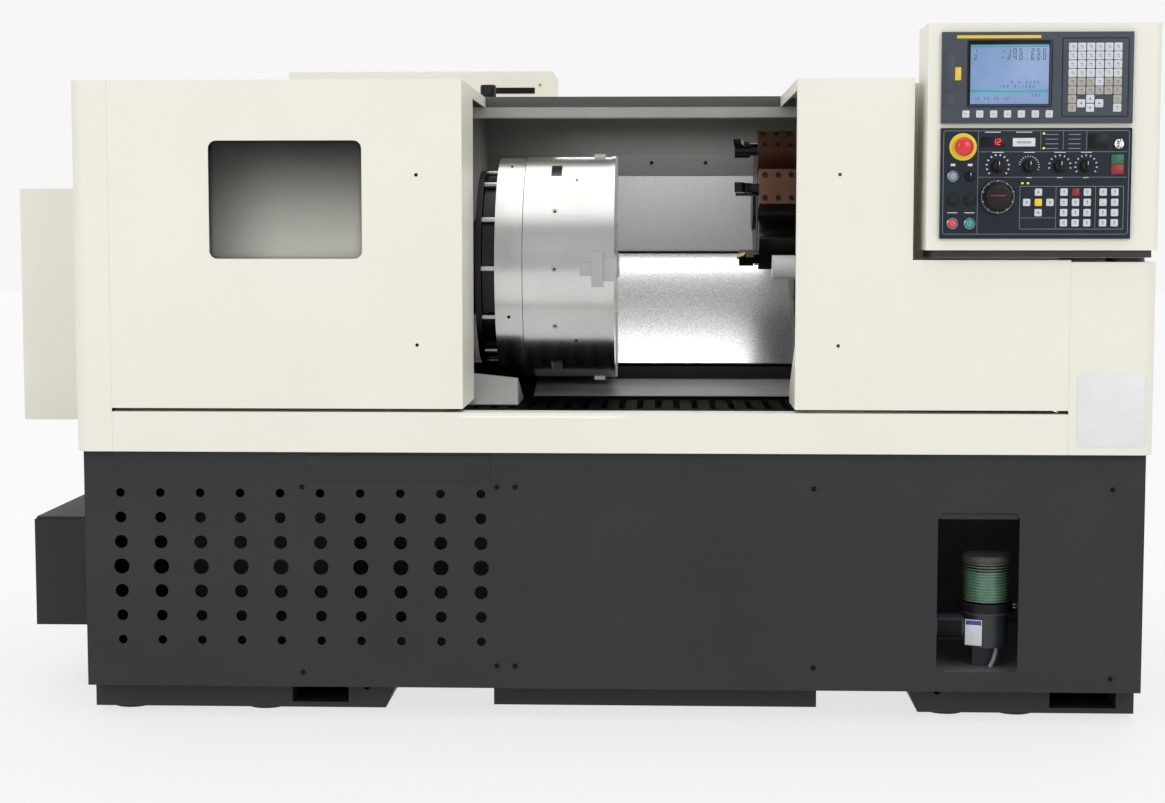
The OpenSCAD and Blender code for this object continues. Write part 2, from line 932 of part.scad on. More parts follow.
// Oil tank of the hydraulic unit, hung on the left side of the base
tank_w = 200;
tank_depth = 300;
tank_d = 460;
tank_z = 157;
tank_h = 256;
tank_wall = 4;
lid_t = 6;
outlet_r = 12;
outlet_h = 28;
outlet_inset = 75;

module hydraulic_tank() {
    x0 = base_left_x - tank_w;
    y0 = fy + tank_depth;
    top = tank_z + tank_h;
    color("darkslategray") {
        difference() {
            span_box([x0, y0, tank_z], [base_left_x, y0 + tank_d, top]);
            span_box(
                [x0 + tank_wall, y0 + tank_wall, tank_z + tank_wall],
                [base_left_x - tank_wall, y0 + tank_d - tank_wall, top + over]
            );
        }
        span_box([x0 + tank_wall + seam, y0 + tank_wall + seam, top - tank_wall],
                 [base_left_x - tank_wall - seam, y0 + tank_d - tank_wall - seam, top + lid_t]);
        translate([base_left_x - outlet_inset, y0 + outlet_inset, 0])
            rod_z(outlet_r, tank_z - outlet_h, tank_z);
    }
}

// Central lubrication unit behind the window in the base
lube_depth = 130;
lube_share = 0.696;
lube_x = hatch_x + hatch_w * lube_share;
lube_y = fy + lube_depth;
pump_r = 49;
pump_low = 160;
pump_top = 240;
pump_motor_r = 32;
pump_motor_left = 121;
pump_stand_w = 60;
pump_stand_d = 30;
collar_r = 59;
collar_h = 20;
reservoir_r = 51;
reservoir_wall = 3;
reservoir_h = 95;
cap_h = 14;
cap_lip = 3;
outlet_fit_r = 8;
outlet_fit_len = 12;

module lube_pump() {
    color("slategray") {
        span_box(
            [lube_x - pump_stand_w / 2, lube_y, slab_top],
            [lube_x + pump_stand_w / 2, lube_y + pump_stand_d, pump_low + over]
        );
        translate([lube_x, lube_y, 0]) rod_z(pump_r, pump_low, pump_top);
        translate([lube_x, lube_y, 0]) rod_z(collar_r, pump_top - over, pump_top + collar_h);
        translate([lube_x, lube_y, (pump_low + pump_top) / 2]) rod_x(pump_motor_r, -pump_motor_left, 0);
        translate([lube_x, lube_y, pump_top + collar_h / 2])
            rod_x(outlet_fit_r, 0, collar_r + outlet_fit_len);
    }
}

module lube_reservoir() {
    z0 = pump_top + collar_h;
    z1 = z0 + reservoir_h;
    color("teal") translate([lube_x, lube_y, 0]) {
        difference() {
            rod_z(reservoir_r, z0, z1);
            rod_z(reservoir_r - reservoir_wall, z0 + reservoir_wall, z1 + over);
        }
        rod_z(reservoir_r + cap_lip, z1 + seam, z1 + cap_h);
    }
}

// Sliding doors: folded sheets that carry their own part of the roof
edge_return = 20;
door_lip = 22;
return_low_h = 36;
return_high_h = 144;
window_margin_x = 225;
window_margin_z = 333;
glass_t = 6;
glass_margin = 15;
handle_hole_r = 4;
left_hole_inset = 101;
right_hole_inset = 94;
handle_hole_zs = [142, 518];
left_door_x = left_x + left_corner_w;
left_door_end_x = left_door_x + left_door_w;
right_door_end_x = right_x - right_corner_w;
right_door_x = right_door_end_x - right_door_w;
recess_x = right_door_end_x - recess_w;
roof_back_y = header_y + header_d;

module handle_holes(x) {
    for (z = handle_hole_zs)
        translate([x, 0, door_z + z]) rod_y(handle_hole_r, fy - over, fy + skin + over);
}

// Closing edge of a door: the return's outline from its foot to the lip, then the lip along the roof
module closing_edge(x, outline) {
    along_x(x, x + skin) polygon(concat(
        [[fy, door_z]], outline,
        [
            [header_y - clear_gap, roof_z - door_lip], [header_y - clear_gap, body_top], [fy, body_top]
        ]
    ));
}

module left_door() {
    color("ivory") difference() {
        union() {
            span_box([left_door_x, fy, door_z], [left_door_end_x, fy + skin, body_top]);
            span_box([left_door_x, fy, roof_z], [left_door_end_x, roof_back_y, body_top]);
            span_box([left_door_x, fy, door_z], [left_door_end_x, fy + edge_return, door_z + skin]);
            span_box([left_door_x, fy, door_z], [left_door_x + skin, fy + edge_return, body_top]);
            closing_edge(left_door_end_x - skin, [
                [fy + door_return, door_z], [fy + door_return, roof_z - door_lip]
            ]);
        }
        translate([left_door_x + window_margin_x, fy - over, door_z + window_margin_z])
            round_slab(window_w, window_h, skin + 2 * over, window_r);
        handle_holes(left_door_end_x - left_hole_inset);
    }
}

module door_window() {
    color("lightsteelblue", 0.4)
        translate([
            left_door_x + window_margin_x - glass_margin, fy + skin,
            door_z + window_margin_z - glass_margin
        ]) round_slab(window_w + 2 * glass_margin, window_h + 2 * glass_margin, glass_t, window_r);
}

module right_door() {
    recess_y = fy + recess_d;
    color("ivory") difference() {
        union() {
            span_box([right_door_x, fy, door_z], [recess_x, fy + skin, body_top]);
            span_box([recess_x - skin, fy, door_z], [right_door_end_x, fy + skin, recess_z]);
            span_box([recess_x - skin, fy, recess_z - skin], [right_door_end_x, recess_y, recess_z]);
            span_box(
                [recess_x - skin, recess_y - skin, recess_z - skin],
                [right_door_end_x, recess_y, body_top]
            );
            span_box([recess_x - skin, fy, recess_z - skin], [recess_x, recess_y, body_top]);
            span_box([right_door_x, fy, roof_z], [recess_x, roof_back_y, body_top]);
            span_box([recess_x - skin, recess_y - skin, roof_z], [right_door_end_x, roof_back_y, body_top]);
            span_box([right_door_x, fy, door_z], [right_door_end_x, fy + edge_return, door_z + skin]);
            closing_edge(right_door_x, [
                [fy + right_return, door_z], [fy + right_return, door_z + return_low_h],
                [fy + edge_return, door_z + return_high_h], [fy + edge_return, roof_z - door_lip]
            ]);
        }
        handle_holes(right_door_x + right_hole_inset);
    }
}

// Carriage: rails on the bed, saddle, cross slide and their screws
saddle_low = 20;
saddle_high = 540;
saddle_under_n = -350;
saddle_top_n = -232;
block_w = 70;
block_len = 80;
block_under_n = -380;
nut_half = 22;
nut_len = 60;
channel_w = 80;
channel_low = 140;
channel_high = 520;
channel_under_n = -340;
x_screw_n = -290;
x_screw_r = 12;
x_screw_low = 120;
x_nut_half = 25;
x_nut_low = 270;
x_nut_high = 330;
slide_rail_w = 30;
slide_rail_h = 15;
slide_rail_inset = 30;
slide_low = 150;
slide_high = 450;
slide_top_n = -200;
rail_end_margin = 45;
cover_under = 104;
carriage_x = (saddle_x + saddle_end_x) / 2;

module z_rails() {
    color("silver") slanted()
        for (t = [rail_t_low, rail_t_high])
            span_box(
                [rail_start_x, t - rail_w / 2, way_n],
                [bed_end_x - rail_end_margin, t + rail_w / 2, way_n + rail_h]
            );
}

module saddle() {
    color("slategray") slanted() difference() {
        union() {
            span_box([saddle_x, saddle_low, saddle_under_n], [saddle_end_x, saddle_high, saddle_top_n]);
            for (t = [rail_t_low, rail_t_high], x = [saddle_x, saddle_end_x - block_len])
                span_box(
                    [x, t - block_w / 2, block_under_n],
                    [x + block_len, t + block_w / 2, saddle_under_n + over]
                );
            for (x = [saddle_x + slide_rail_inset, saddle_end_x - slide_rail_inset - slide_rail_w])
                span_box(
                    [x, saddle_low, saddle_top_n - over],
                    [x + slide_rail_w, saddle_high, saddle_top_n + slide_rail_h]
                );
            span_box(
                [carriage_x - nut_len / 2, screw_t - nut_half, screw_n - nut_half],
                [carriage_x + nut_len / 2, screw_t + nut_half, saddle_under_n + over]
            );
        }
        for (t = [rail_t_low, rail_t_high])
            span_box(
                [saddle_x - over, t - rail_w / 2 - seam, way_n - over],
                [saddle_end_x + over, t + rail_w / 2 + seam, way_n + rail_h + seam]
            );
        translate([0, screw_t, screw_n]) rod_x(z_screw_r + fit, saddle_x, saddle_end_x);
        span_box(
            [carriage_x - channel_w / 2, channel_low, channel_under_n],
            [carriage_x + channel_w / 2, channel_high, saddle_top_n + over]
        );
        translate([carriage_x, 0, x_screw_n]) rod_y(x_screw_r + fit, x_screw_low, saddle_high + over);
    }
}

module way_cover() {
    color("silver") slanted()
        span_box(
            [headstock_front_x - cover_under, 0, cover_n],
            [saddle_x, cover_len, cover_n + skin]
        );
}

module z_screw() {
    color("silver") slanted() translate([0, screw_t, screw_n]) rod_x(z_screw_r, z_screw_x, z_screw_end_x);
}

module x_screw() {
    color("silver") slanted() translate([carriage_x, 0, x_screw_n])
        rod_y(x_screw_r, x_screw_low, saddle_high);
}

motor_cube = 110;
z_motor_len = 130;
x_motor_len = 100;
x_motor_under_n = -390;
x_motor_top_n = -295;

module z_motor() {
    half = motor_cube / 2;
    color("black") slanted() translate([bed_end_x, screw_t, screw_n])
        span_box([0, -half, -half], [z_motor_len, half, half]);
}

module x_motor() {
    half = motor_cube / 2;
    color("black") slanted()
        span_box(
            [carriage_x - half, saddle_high, x_motor_under_n],
            [carriage_x + half, saddle_high + x_motor_len, x_motor_top_n]
        );
}

module cross_slide() {
    under_n = saddle_top_n + seam;
    color("slategray") slanted() difference() {
        union() {
            span_box([saddle_x, slide_low, under_n], [saddle_end_x, slide_high, slide_top_n]);
            span_box(
                [carriage_x - x_nut_half, x_nut_low, x_screw_n - x_nut_half],
                [carriage_x + x_nut_half, x_nut_high, slide_top_n - over]
            );
        }
        for (x = [saddle_x + slide_rail_inset, saddle_end_x - slide_rail_inset - slide_rail_w])
            span_box(
                [x - seam, slide_low - over, under_n - over],
                [x + slide_rail_w + seam, slide_high + over, saddle_top_n + slide_rail_h + seam]
            );
        translate([carriage_x, 0, x_screw_n]) rod_y(x_screw_r + fit, x_nut_low - over, x_nut_high + over);
    }
}

// Turret: housing, indexing disc, holders on its flats and the tools in them
housing_half = 115;
housing_top_n = 120;
housing_short = 40;
spigot_r = 60;
spigot_len = 45;
hub_r = 62;
hub_t = 8;
holder_margin = 2;
holder_w = 90;
holder_h = 60;
bar_r_out = 30;
bar_back = 18;
block_h = 95;
shank_r_in = 75;
tool_head_len = 36;
tool_head_out = 12;
insert_side = 16;
insert_t = 5;
insert_lean = 6;
flat_r = turret_across / 2;

module on_turret() {
    slanted() translate([0, turret_reach, 0]) children();
}

// Stations count from the one above the disc towards the spindle, which is the working one
module at_station(index) {
    on_turret() rotate([index * 360 / stations, 0, 0]) children();
}

module turret_housing() {
    color("dimgray") on_turret() {
        span_box(
            [saddle_x, -housing_half, slide_top_n],
            [saddle_end_x - housing_short, housing_half, housing_top_n]
        );
        rod_x(spigot_r, disc_end_x - spigot_len, saddle_x + over);
    }
}

module turret_disc() {
    color("black") on_turret() difference() {
        union() {
            translate([disc_x, 0, 0]) rotate([0, 90, 0]) rotate([0, 0, 180 / stations])
                cylinder(r = flat_r / cos(180 / stations), h = turret_t, $fn = stations);
            rod_x(hub_r, disc_x - hub_t, disc_x + over);
        }
        rod_x(spigot_r + fit, disc_end_x - spigot_len - clear_gap, disc_end_x + over);
    }
}

module holder_block(h) {
    span_box(
        [disc_x + holder_margin, -holder_w / 2, flat_r],
        [disc_end_x - holder_margin, holder_w / 2, flat_r + h]
    );
}

module tool_holders() {
    color("saddlebrown") {
        for (index = [0, 1])
            at_station(index) difference() {
                holder_block(holder_h);
                translate([0, 0, flat_r + bar_r_out])
                    rod_x(bar_d / 2 + fit, disc_x - over, disc_end_x + over);
            }
        at_station(2) difference() {
            holder_block(block_h);
            span_box(
                [disc_x - over, -shank - fit, flat_r + shank_r_in - fit],
                [disc_end_x + over, fit, flat_r + block_h + over]
            );
        }
    }
}

module cutting_tools() {
    tool_r = flat_r + shank_r_in;
    tip_r = flat_r + block_h + shank;
    color("silver") {
        for (index = [0, 1])
            at_station(index) translate([0, 0, flat_r + bar_r_out])
                rod_x(bar_d / 2, tip_x - holder_margin, disc_end_x - bar_back);
        at_station(2) {
            span_box([tip_x + insert_lean, -shank, tool_r], [disc_end_x - holder_margin, 0, tool_r + shank]);
            span_box(
                [tip_x + insert_lean, -shank, tool_r],
                [tip_x + insert_lean + tool_head_len, 0, tool_r + shank + tool_head_out]
            );
            rotate([-90, 0, 0]) mirror([0, 1, 0]) linear_extrude(height = insert_t) polygon([
                [tip_x, tip_r], [tip_x + insert_side, tip_r - insert_lean],
                [tip_x + insert_side + insert_lean, tip_r - insert_side - insert_lean],
                [tip_x + insert_lean, tip_r - insert_side]
            ]);
        }
    }
}

// Tailstock with its slim nose and the quill
quill_reach = 388;
quill_end_x = face_x + quill_reach;
tail_nose_x = quill_end_x + quill_out;
tail_nose_len = 220;
tail_nose_wall = 7;
tail_x = tail_nose_x + tail_nose_len;
tail_len = 300;
tail_half = 80;
tail_foot_low = -150;
tail_foot_high = 10;
tail_foot_short = 20;
quill_len = 490;
quill_socket_len = 80;
quill_end_gap = 20;

module tailstock() {
    color("slategray") slanted() difference() {
        union() {
            rod_x(quill_d / 2 + tail_nose_wall, tail_nose_x, tail_x + over);
            span_box([tail_x, -tail_half, -tail_half], [tail_x + tail_len, tail_half, tail_half]);
            span_box(
                [tail_x, tail_foot_low, way_n],
                [tail_x + tail_len - tail_foot_short, tail_foot_high, -tail_half + over]
            );
        }
        rod_x(quill_d / 2 + fit, tail_nose_x - over, quill_end_x + quill_len + quill_end_gap);
    }
}

module quill() {
    color("gainsboro") on_axis() difference() {
        rod_x(quill_d / 2, quill_end_x, quill_end_x + quill_len);
        rod_x(quill_socket_d / 2, quill_end_x - over, quill_end_x + quill_socket_len);
    }
}

// Control pendant on its swivel post
pendant_margin = 10;
pendant_gap = 26;
pendant_x = right_x - pendant_margin - pendant_w;
pendant_end_x = pendant_x + pendant_w;
pendant_y = fy - pendant_front;
pendant_back_y = pendant_y + pendant_d;
pendant_z = right_corner_top + pendant_gap;
pendant_r = 18;
plinth_h = 16;
plinth_inset = 14;
pivot_inset = 60;
pivot_x = right_x - pivot_inset;
pivot_y = fy + pivot_inset;
pivot_r = 20;
pivot_h = 60;
neck_r = 42;
boss_r = 34;
panel_margin = 28;
operator_margin = 25;
display_margin = 273;
cutout_inset = 12;
panel_x = pendant_x + panel_margin;
operator_z = pendant_z + operator_margin;
display_z = pendant_z + display_margin;
panel_face_y = pendant_y - bezel_t;

module pendant_neck() {
    color("black") translate([pivot_x, pivot_y, 0]) {
        rod_z(neck_r, right_corner_top, pendant_z - plinth_h - seam);
        rod_z(pivot_r, right_corner_top, right_corner_top + pendant_gap + pivot_h);
    }
}

module pendant_case(inset) {
    r = pendant_r - inset;
    z0 = pendant_z + inset;
    z1 = pendant_z + pendant_h - inset;
    span_box(
        [pendant_x + inset, pendant_y + inset, z0],
        [pendant_end_x - pendant_r, pendant_back_y - inset, z1]
    );
    span_box(
        [pendant_x + inset, pendant_y + pendant_r, z0],
        [pendant_end_x - inset, pendant_back_y - pendant_r, z1]
    );
    for (y = [pendant_y + pendant_r, pendant_back_y - pendant_r])
        translate([pendant_end_x - pendant_r, y, 0]) rod_z(r, z0, z1);
}

module panel_cutout(z, h) {
    span_box(
        [panel_x + cutout_inset, pendant_y - over, z + cutout_inset],
        [panel_x + panel_w - cutout_inset, pendant_y + skin + over, z + h - cutout_inset]
    );
}

module pendant_box() {
    boss_top = pendant_z + pivot_h;
    color("ivory") difference() {
        union() {
            difference() {
                pendant_case(0);
                pendant_case(skin);
            }
            span_box(
                [pendant_x + plinth_inset, pendant_y + plinth_inset, pendant_z - plinth_h],
                [pendant_end_x - plinth_inset, pendant_back_y - plinth_inset, pendant_z + skin]
            );
            translate([pivot_x, pivot_y, 0]) rod_z(boss_r, pendant_z, boss_top);
        }
        panel_cutout(operator_z, operator_h);
        panel_cutout(display_z, display_h);
        translate([pivot_x, pivot_y, 0]) rod_z(pivot_r + fit, pendant_z - plinth_h - over, boss_top + over);
    }
}

// Display unit: screen recess, soft keys under it and the key field at its right
screen_x_share = 0.135;
screen_z_share = 0.2;
screen_w_share = 0.43;
screen_h_share = 0.7;
screen_deep = 4;
key_h = 2.5;
key_side = 15;
soft_keys = 7;
soft_pitch = 29.7;
soft_x_share = 0.109;
soft_z_share = 0.063;
field_x_share = 0.6625;
field_z_share = 0.1302;
field_columns = 6;
field_rows = 8;
field_cross_rows = 2;
field_pitch_x = 19.3;
field_pitch_z = 18.5;
field_key = 15.2;
// Places of the field's keys, in columns and rows: full rows, then the ends of the rows beside the arrow cross
field_full = [for (row = [field_cross_rows : field_rows - 1], column = [0 : field_columns - 1]) [column, row]];
field_ends = [for (row = [0 : field_cross_rows - 1], column = [0, field_columns - 1]) [column, row]];
arrow_shares = [[2, 1], [1, 0.5], [3, 0.5], [2, 0]];

module key(x, z, side) {
    translate([x, panel_face_y - key_h, z]) cube([side, key_h + seam, side]);
}

module display_unit() {
    color("darkslateblue") {
        difference() {
            span_box(
                [panel_x, panel_face_y, display_z],
                [panel_x + panel_w, pendant_y, display_z + display_h]
            );
            translate([
                panel_x + screen_x_share * panel_w,
                panel_face_y - over,
                display_z + screen_z_share * display_h
            ]) cube([screen_w_share * panel_w, screen_deep + over, screen_h_share * display_h]);
        }
        for (i = [0 : soft_keys - 1])
            key(
                panel_x + soft_x_share * panel_w + i * soft_pitch,
                display_z + soft_z_share * display_h, key_side
            );
        for (place = concat(field_full, field_ends, arrow_shares))
            key(
                panel_x + field_x_share * panel_w + place[0] * field_pitch_x,
                display_z + field_z_share * display_h + place[1] * field_pitch_z, field_key
            );
    }
}

// Operator panel: key fields, blanking plugs, lamps and the bores of its controls
key_pitch_x = 25;
key_pitch_z = 22;
jog_x_share = 0.435;
jog_z_share = 0.205;
grid_x_share = 0.63;
grid_z_share = 0.113;
pair_x_share = 0.835;
grid_rows = 4;
grid_columns = 3;
pair_columns = 2;
lamp_w = 26;
lamp_h = 20;
lamp_x_share = 0.893;
lamp_z_shares = [0.585, 0.675];
plug_z_share = 0.35;
left_column_share = 0.065;
right_column_share = 0.155;
estop_shares = [0.116, 0.83];
selector_shares = [[0.3, 0.657], [0.464, 0.657], [0.625, 0.657], [0.762, 0.657]];
dial_shares = [0.3, 0.38];
key_shares = [0.93, 0.855];
upper_z_share = 0.565;
lower_z_share = 0.138;
estop_ring_r = 29;
estop_ring_t = 3;
stem_r = 11;
shaft_r = 5;
stem_back = 6;
flange_lip = 2;
flange_t = 3;
plunger_out = 8;
selector_h = 18;
grip_w = 8;
grip_h = 6;
dial_t = 6;
dial_knob_d = 58;
dial_knob_h = 24;
lock_r = 10;
lock_h = 6;
bow_w = 22;
bow_t = 3;
bow_h = 24;

function on_panel(shares) = [panel_x + shares[0] * panel_w, 0, operator_z + shares[1] * operator_h];

module panel_bore(shares, r) {
    translate(on_panel(shares)) rod_y(r + fit, panel_face_y - estop_ring_t - over, pendant_y + over);
}

module key_grid(x_share, z_share, columns, rows) {
    for (column = [0 : columns - 1], row = [0 : rows - 1])
        key(
            panel_x + x_share * panel_w + column * key_pitch_x,
            operator_z + z_share * operator_h + row * key_pitch_z, key_side
        );
}

module jog_keys() {
    for (step = [[1, 0], [0, 1], [1, 1], [2, 1], [1, 2]])
        key(
            panel_x + jog_x_share * panel_w + step[0] * key_pitch_x,
            operator_z + jog_z_share * operator_h + step[1] * key_pitch_z, key_side
        );
}

module operator_panel() {
    color("darkslateblue") difference() {
        union() {
            span_box(
                [panel_x, panel_face_y, operator_z],
                [panel_x + panel_w, pendant_y, operator_z + operator_h]
            );
            translate(on_panel(estop_shares))
                rod_y(estop_ring_r, panel_face_y - estop_ring_t, panel_face_y + seam);
            for (x = [left_column_share, right_column_share])
                translate(on_panel([x, plug_z_share]))
                    rod_y(button_d / 2 + flange_lip, panel_face_y - key_h, panel_face_y + seam);
            for (z = lamp_z_shares)
                translate([
                    panel_x + lamp_x_share * panel_w, panel_face_y - key_h, operator_z + z * operator_h
                ]) cube([lamp_w, key_h + seam, lamp_h]);
            jog_keys();
            key_grid(grid_x_share, grid_z_share, grid_columns, grid_rows);
            key_grid(pair_x_share, grid_z_share, pair_columns, grid_rows);
        }
        panel_bore(estop_shares, stem_r);
        for (place = selector_shares)
            panel_bore(place, shaft_r);
        panel_bore(dial_shares, shaft_r);
        panel_bore(key_shares, shaft_r);
        panel_bore([right_column_share, upper_z_share], shaft_r);
        panel_bore([left_column_share, upper_z_share], button_d / 2);
        panel_bore([left_column_share, lower_z_share], button_d / 2);
        panel_bore([right_column_share, lower_z_share], button_d / 2);
    }
}

// The stop collar behind the panel and the stem that passes through it
module stem(r, front_y) {
    rod_y(r, front_y, pendant_y + stem_back);
    rod_y(r + flange_lip, pendant_y + seam, pendant_y + seam + flange_t);
}

module estop() {
    front_y = panel_face_y - estop_h;
    color("red") translate(on_panel(estop_shares)) {
        stem(stem_r, front_y + estop_head_h - over);
        rod_y(estop_d / 2, front_y, front_y + estop_head_h);
    }
}

module turn_knob(shares, d, h) {
    translate(on_panel(shares)) {
        stem(shaft_r, panel_face_y - seam - over);
        rod_y(d / 2, panel_face_y - seam - h, panel_face_y - seam);
        span_box([-grip_w / 2, panel_face_y - seam - h - grip_h, -d / 2 + grip_h],
                 [grip_w / 2, panel_face_y - seam - h + seam, d / 2 - grip_h]);
    }
}

module selector_1() {
    color("black") turn_knob(selector_shares[0], selector_d, selector_h);
}

module selector_2() {
    color("black") turn_knob(selector_shares[1], selector_d, selector_h);
}

module selector_3() {
    color("black") turn_knob(selector_shares[2], selector_d, selector_h);
}

module selector_4() {
    color("black") turn_knob(selector_shares[3], selector_d, selector_h);
}

module selector_small() {
    color("black") turn_knob([right_column_share, upper_z_share], button_d + 2 * flange_lip, plunger_out);
}

module handwheel() {
    knob_y = panel_face_y - seam - dial_t;
    color("black") translate(on_panel(dial_shares)) {
        stem(shaft_r, panel_face_y - seam - over);
        rod_y(dial_d / 2, knob_y, panel_face_y - seam);
        rod_y(dial_knob_d / 2, knob_y - dial_knob_h, knob_y + seam);
    }
}

module key_switch() {
    lock_y = panel_face_y - seam - lock_h;
    color("silver") translate(on_panel(key_shares)) {
        stem(shaft_r, panel_face_y - seam - over);
        rod_y(lock_r, lock_y, panel_face_y - seam);
        span_box([-bow_t / 2, lock_y - bow_h, -bow_w / 2], [bow_t / 2, lock_y + seam, bow_w / 2]);
    }
}

module plunger(shares) {
    translate(on_panel(shares)) stem(button_d / 2, panel_face_y - plunger_out);
}

module push_grey() {
    color("lightgray") plunger([left_column_share, upper_z_share]);
}

module push_red() {
    color("crimson") plunger([left_column_share, lower_z_share]);
}

module push_green() {
    color("teal") plunger([right_column_share, lower_z_share]);
}

bed_casting();
base_front_panel();
base_side_panels();
feet();
headstock();
spindle_bearings();
main_motor();
drive_belt();
z_rails();
z_motor();
splash_walls();
chip_tray();
front_panels();
header_rail();
rear_enclosure();
electric_cabinet();
cabinet_door();
hydraulic_tank();
lube_pump();
lube_reservoir();
pendant_neck();
left_door();
door_window();
right_door();
spindle();
spindle_pulley();
chuck_backplate();
chuck_body();
chuck_front_plate();
jaw_1();
jaw_2();
jaw_3();
jaw_4();
motor_pulley();
saddle();
way_cover();
z_screw();
cross_slide();
x_screw();
x_motor();
turret_housing();
turret_disc();
tool_holders();
cutting_tools();
tailstock();
quill();
pendant_box();
display_unit();
operator_panel();
estop();
handwheel();
selector_1();
selector_2();
selector_3();
selector_4();
key_switch();
push_grey();
selector_small();
push_red();
push_green();
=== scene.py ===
# %% [markdown]
# # Dressing a turning lathe
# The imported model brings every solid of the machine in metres, in one frame: X along the spindle, Y to the
# back, Z up. This lesson keeps those solids, gives each a finish, and adds the small things a solid
# modeller leaves out: screws, key caps, dial marks, the picture on the screen and thin plates. Each new
# surface is worked out with numpy as a grid of points or a profile carried along a path, so that its
# formula can be read.

# %% Load the frame
import math

import bmesh
import bpy
import numpy as np
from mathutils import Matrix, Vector


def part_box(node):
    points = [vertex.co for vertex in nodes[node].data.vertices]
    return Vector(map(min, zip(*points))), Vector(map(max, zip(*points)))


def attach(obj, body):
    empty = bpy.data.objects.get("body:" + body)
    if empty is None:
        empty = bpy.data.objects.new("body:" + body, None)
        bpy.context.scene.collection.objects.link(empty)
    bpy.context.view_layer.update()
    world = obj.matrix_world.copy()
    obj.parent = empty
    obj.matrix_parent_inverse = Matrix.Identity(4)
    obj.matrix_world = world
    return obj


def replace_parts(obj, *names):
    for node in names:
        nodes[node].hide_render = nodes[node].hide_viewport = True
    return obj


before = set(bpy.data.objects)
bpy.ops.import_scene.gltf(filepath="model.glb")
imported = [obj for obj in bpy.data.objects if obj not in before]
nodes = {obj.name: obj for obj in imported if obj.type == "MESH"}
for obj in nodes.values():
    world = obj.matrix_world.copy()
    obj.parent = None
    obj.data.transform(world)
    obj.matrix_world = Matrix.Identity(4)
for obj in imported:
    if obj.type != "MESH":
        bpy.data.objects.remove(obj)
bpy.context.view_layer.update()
MM, TINY = 0.001, 1e-6

# %% [markdown]
# ## Points on grids
# Nearly every added piece is one of five surfaces: a profile turned about an axis, a rounded slab, a
# rounded block, a section swept along a path or a flat prism. Each helper below returns an array of points
# and arrays of face corners, and nothing else, so a shape can be copied and placed as numbers before
# Blender sees it.

# %% Grid helpers
def grid_faces(rows, cols, wrap=True):
    """Corners of the quads between neighbouring rows and columns; wrap joins the last column to the first."""
    row = np.arange(rows - 1)[:, None]
    col = np.arange(cols if wrap else cols - 1)[None, :]
    after = (col + 1) % cols
    quads = [row * cols + col, row * cols + after, (row + 1) * cols + after, (row + 1) * cols + col]
    return np.stack(np.broadcast_arrays(*quads), -1).reshape(-1, 4)


def turned(profile, steps=48):
    """Revolve (radius, height) pairs about Z: x = r cos a, y = r sin a, z = h, with a running round once."""
    r, h = np.asarray(profile, float).T
    a = np.linspace(0, 2 * np.pi, steps, endpoint=False)
    points = np.stack(np.broadcast_arrays(r[:, None] * np.cos(a), r[:, None] * np.sin(a), h[:, None]), -1)
    return points.reshape(-1, 3), [grid_faces(len(r), steps)]


def rounded_outline(w, h, r, steps=6):
    """Rectangle with round corners in X and Z: four quarter circles of radius r about corners set in by r."""
    r = max(min(r, w / 2, h / 2), TINY)
    a = np.linspace(0, np.pi / 2, steps + 1)[None, :] + np.arange(4)[:, None] * np.pi / 2
    centre = np.array([[1, 1], [-1, 1], [-1, -1], [1, -1]]) * [w / 2 - r, h / 2 - r]
    ring = centre[:, None, :] + r * np.stack([np.cos(a), np.sin(a)], -1)
    return ring.reshape(-1, 2)


def slab(w, h, d, r, bevel, steps=6):
    """Rounded plate facing -Y: its outline at six depths, drawn in by the bevel at both ends, with caps."""
    levels = [(bevel, 0), (bevel * 0.3, -bevel * 0.7), (0, -bevel),
              (0, -d + bevel), (bevel * 0.3, -d + bevel * 0.3), (bevel, -d)]
    rings = []
    for inset, y in levels:
        outline = rounded_outline(w - 2 * inset, h - 2 * inset, max(r - inset, TINY), steps)
        rings.append(np.stack([outline[:, 0], np.full(len(outline), y), outline[:, 1]], -1))
    n = len(rings[0])
    caps = [np.arange(n)[None, :], (np.arange(n) + (len(levels) - 1) * n)[None, ::-1]]
    return np.concatenate(rings), [grid_faces(len(levels), n), *caps]


def block(lo, hi, r, steps=3):
    """Rounded block: a sphere of radius r whose octants are pulled apart to the eight corners of the box."""
    lo, hi = np.asarray(lo, float), np.asarray(hi, float)
    quarter = np.linspace(0, np.pi / 2, steps + 1)
    turn = np.concatenate([quarter + k * np.pi / 2 for k in range(4)])
    side = np.repeat(np.array([[1, 1], [-1, 1], [-1, -1], [1, -1]]), steps + 1, axis=0)
    lift = np.concatenate([quarter - np.pi / 2, quarter])
    up = np.repeat([-1, 1], steps + 1)
    level, rise = np.cos(lift)[:, None], np.sin(lift)[:, None]
    ball = np.stack(np.broadcast_arrays(level * np.cos(turn), level * np.sin(turn), rise), -1)
    corner = np.stack(np.broadcast_arrays(side[None, :, 0], side[None, :, 1], up[:, None]), -1)
    points = (lo + hi) / 2 + corner * ((hi - lo) / 2 - r) + r * ball
    cols = len(turn)
    ends = np.arange(4) * (steps + 1)
    caps = [ends[None, ::-1], (ends + (len(lift) - 1) * cols)[None, :]]
    return points.reshape(-1, 3), [grid_faces(len(lift), cols), *caps]


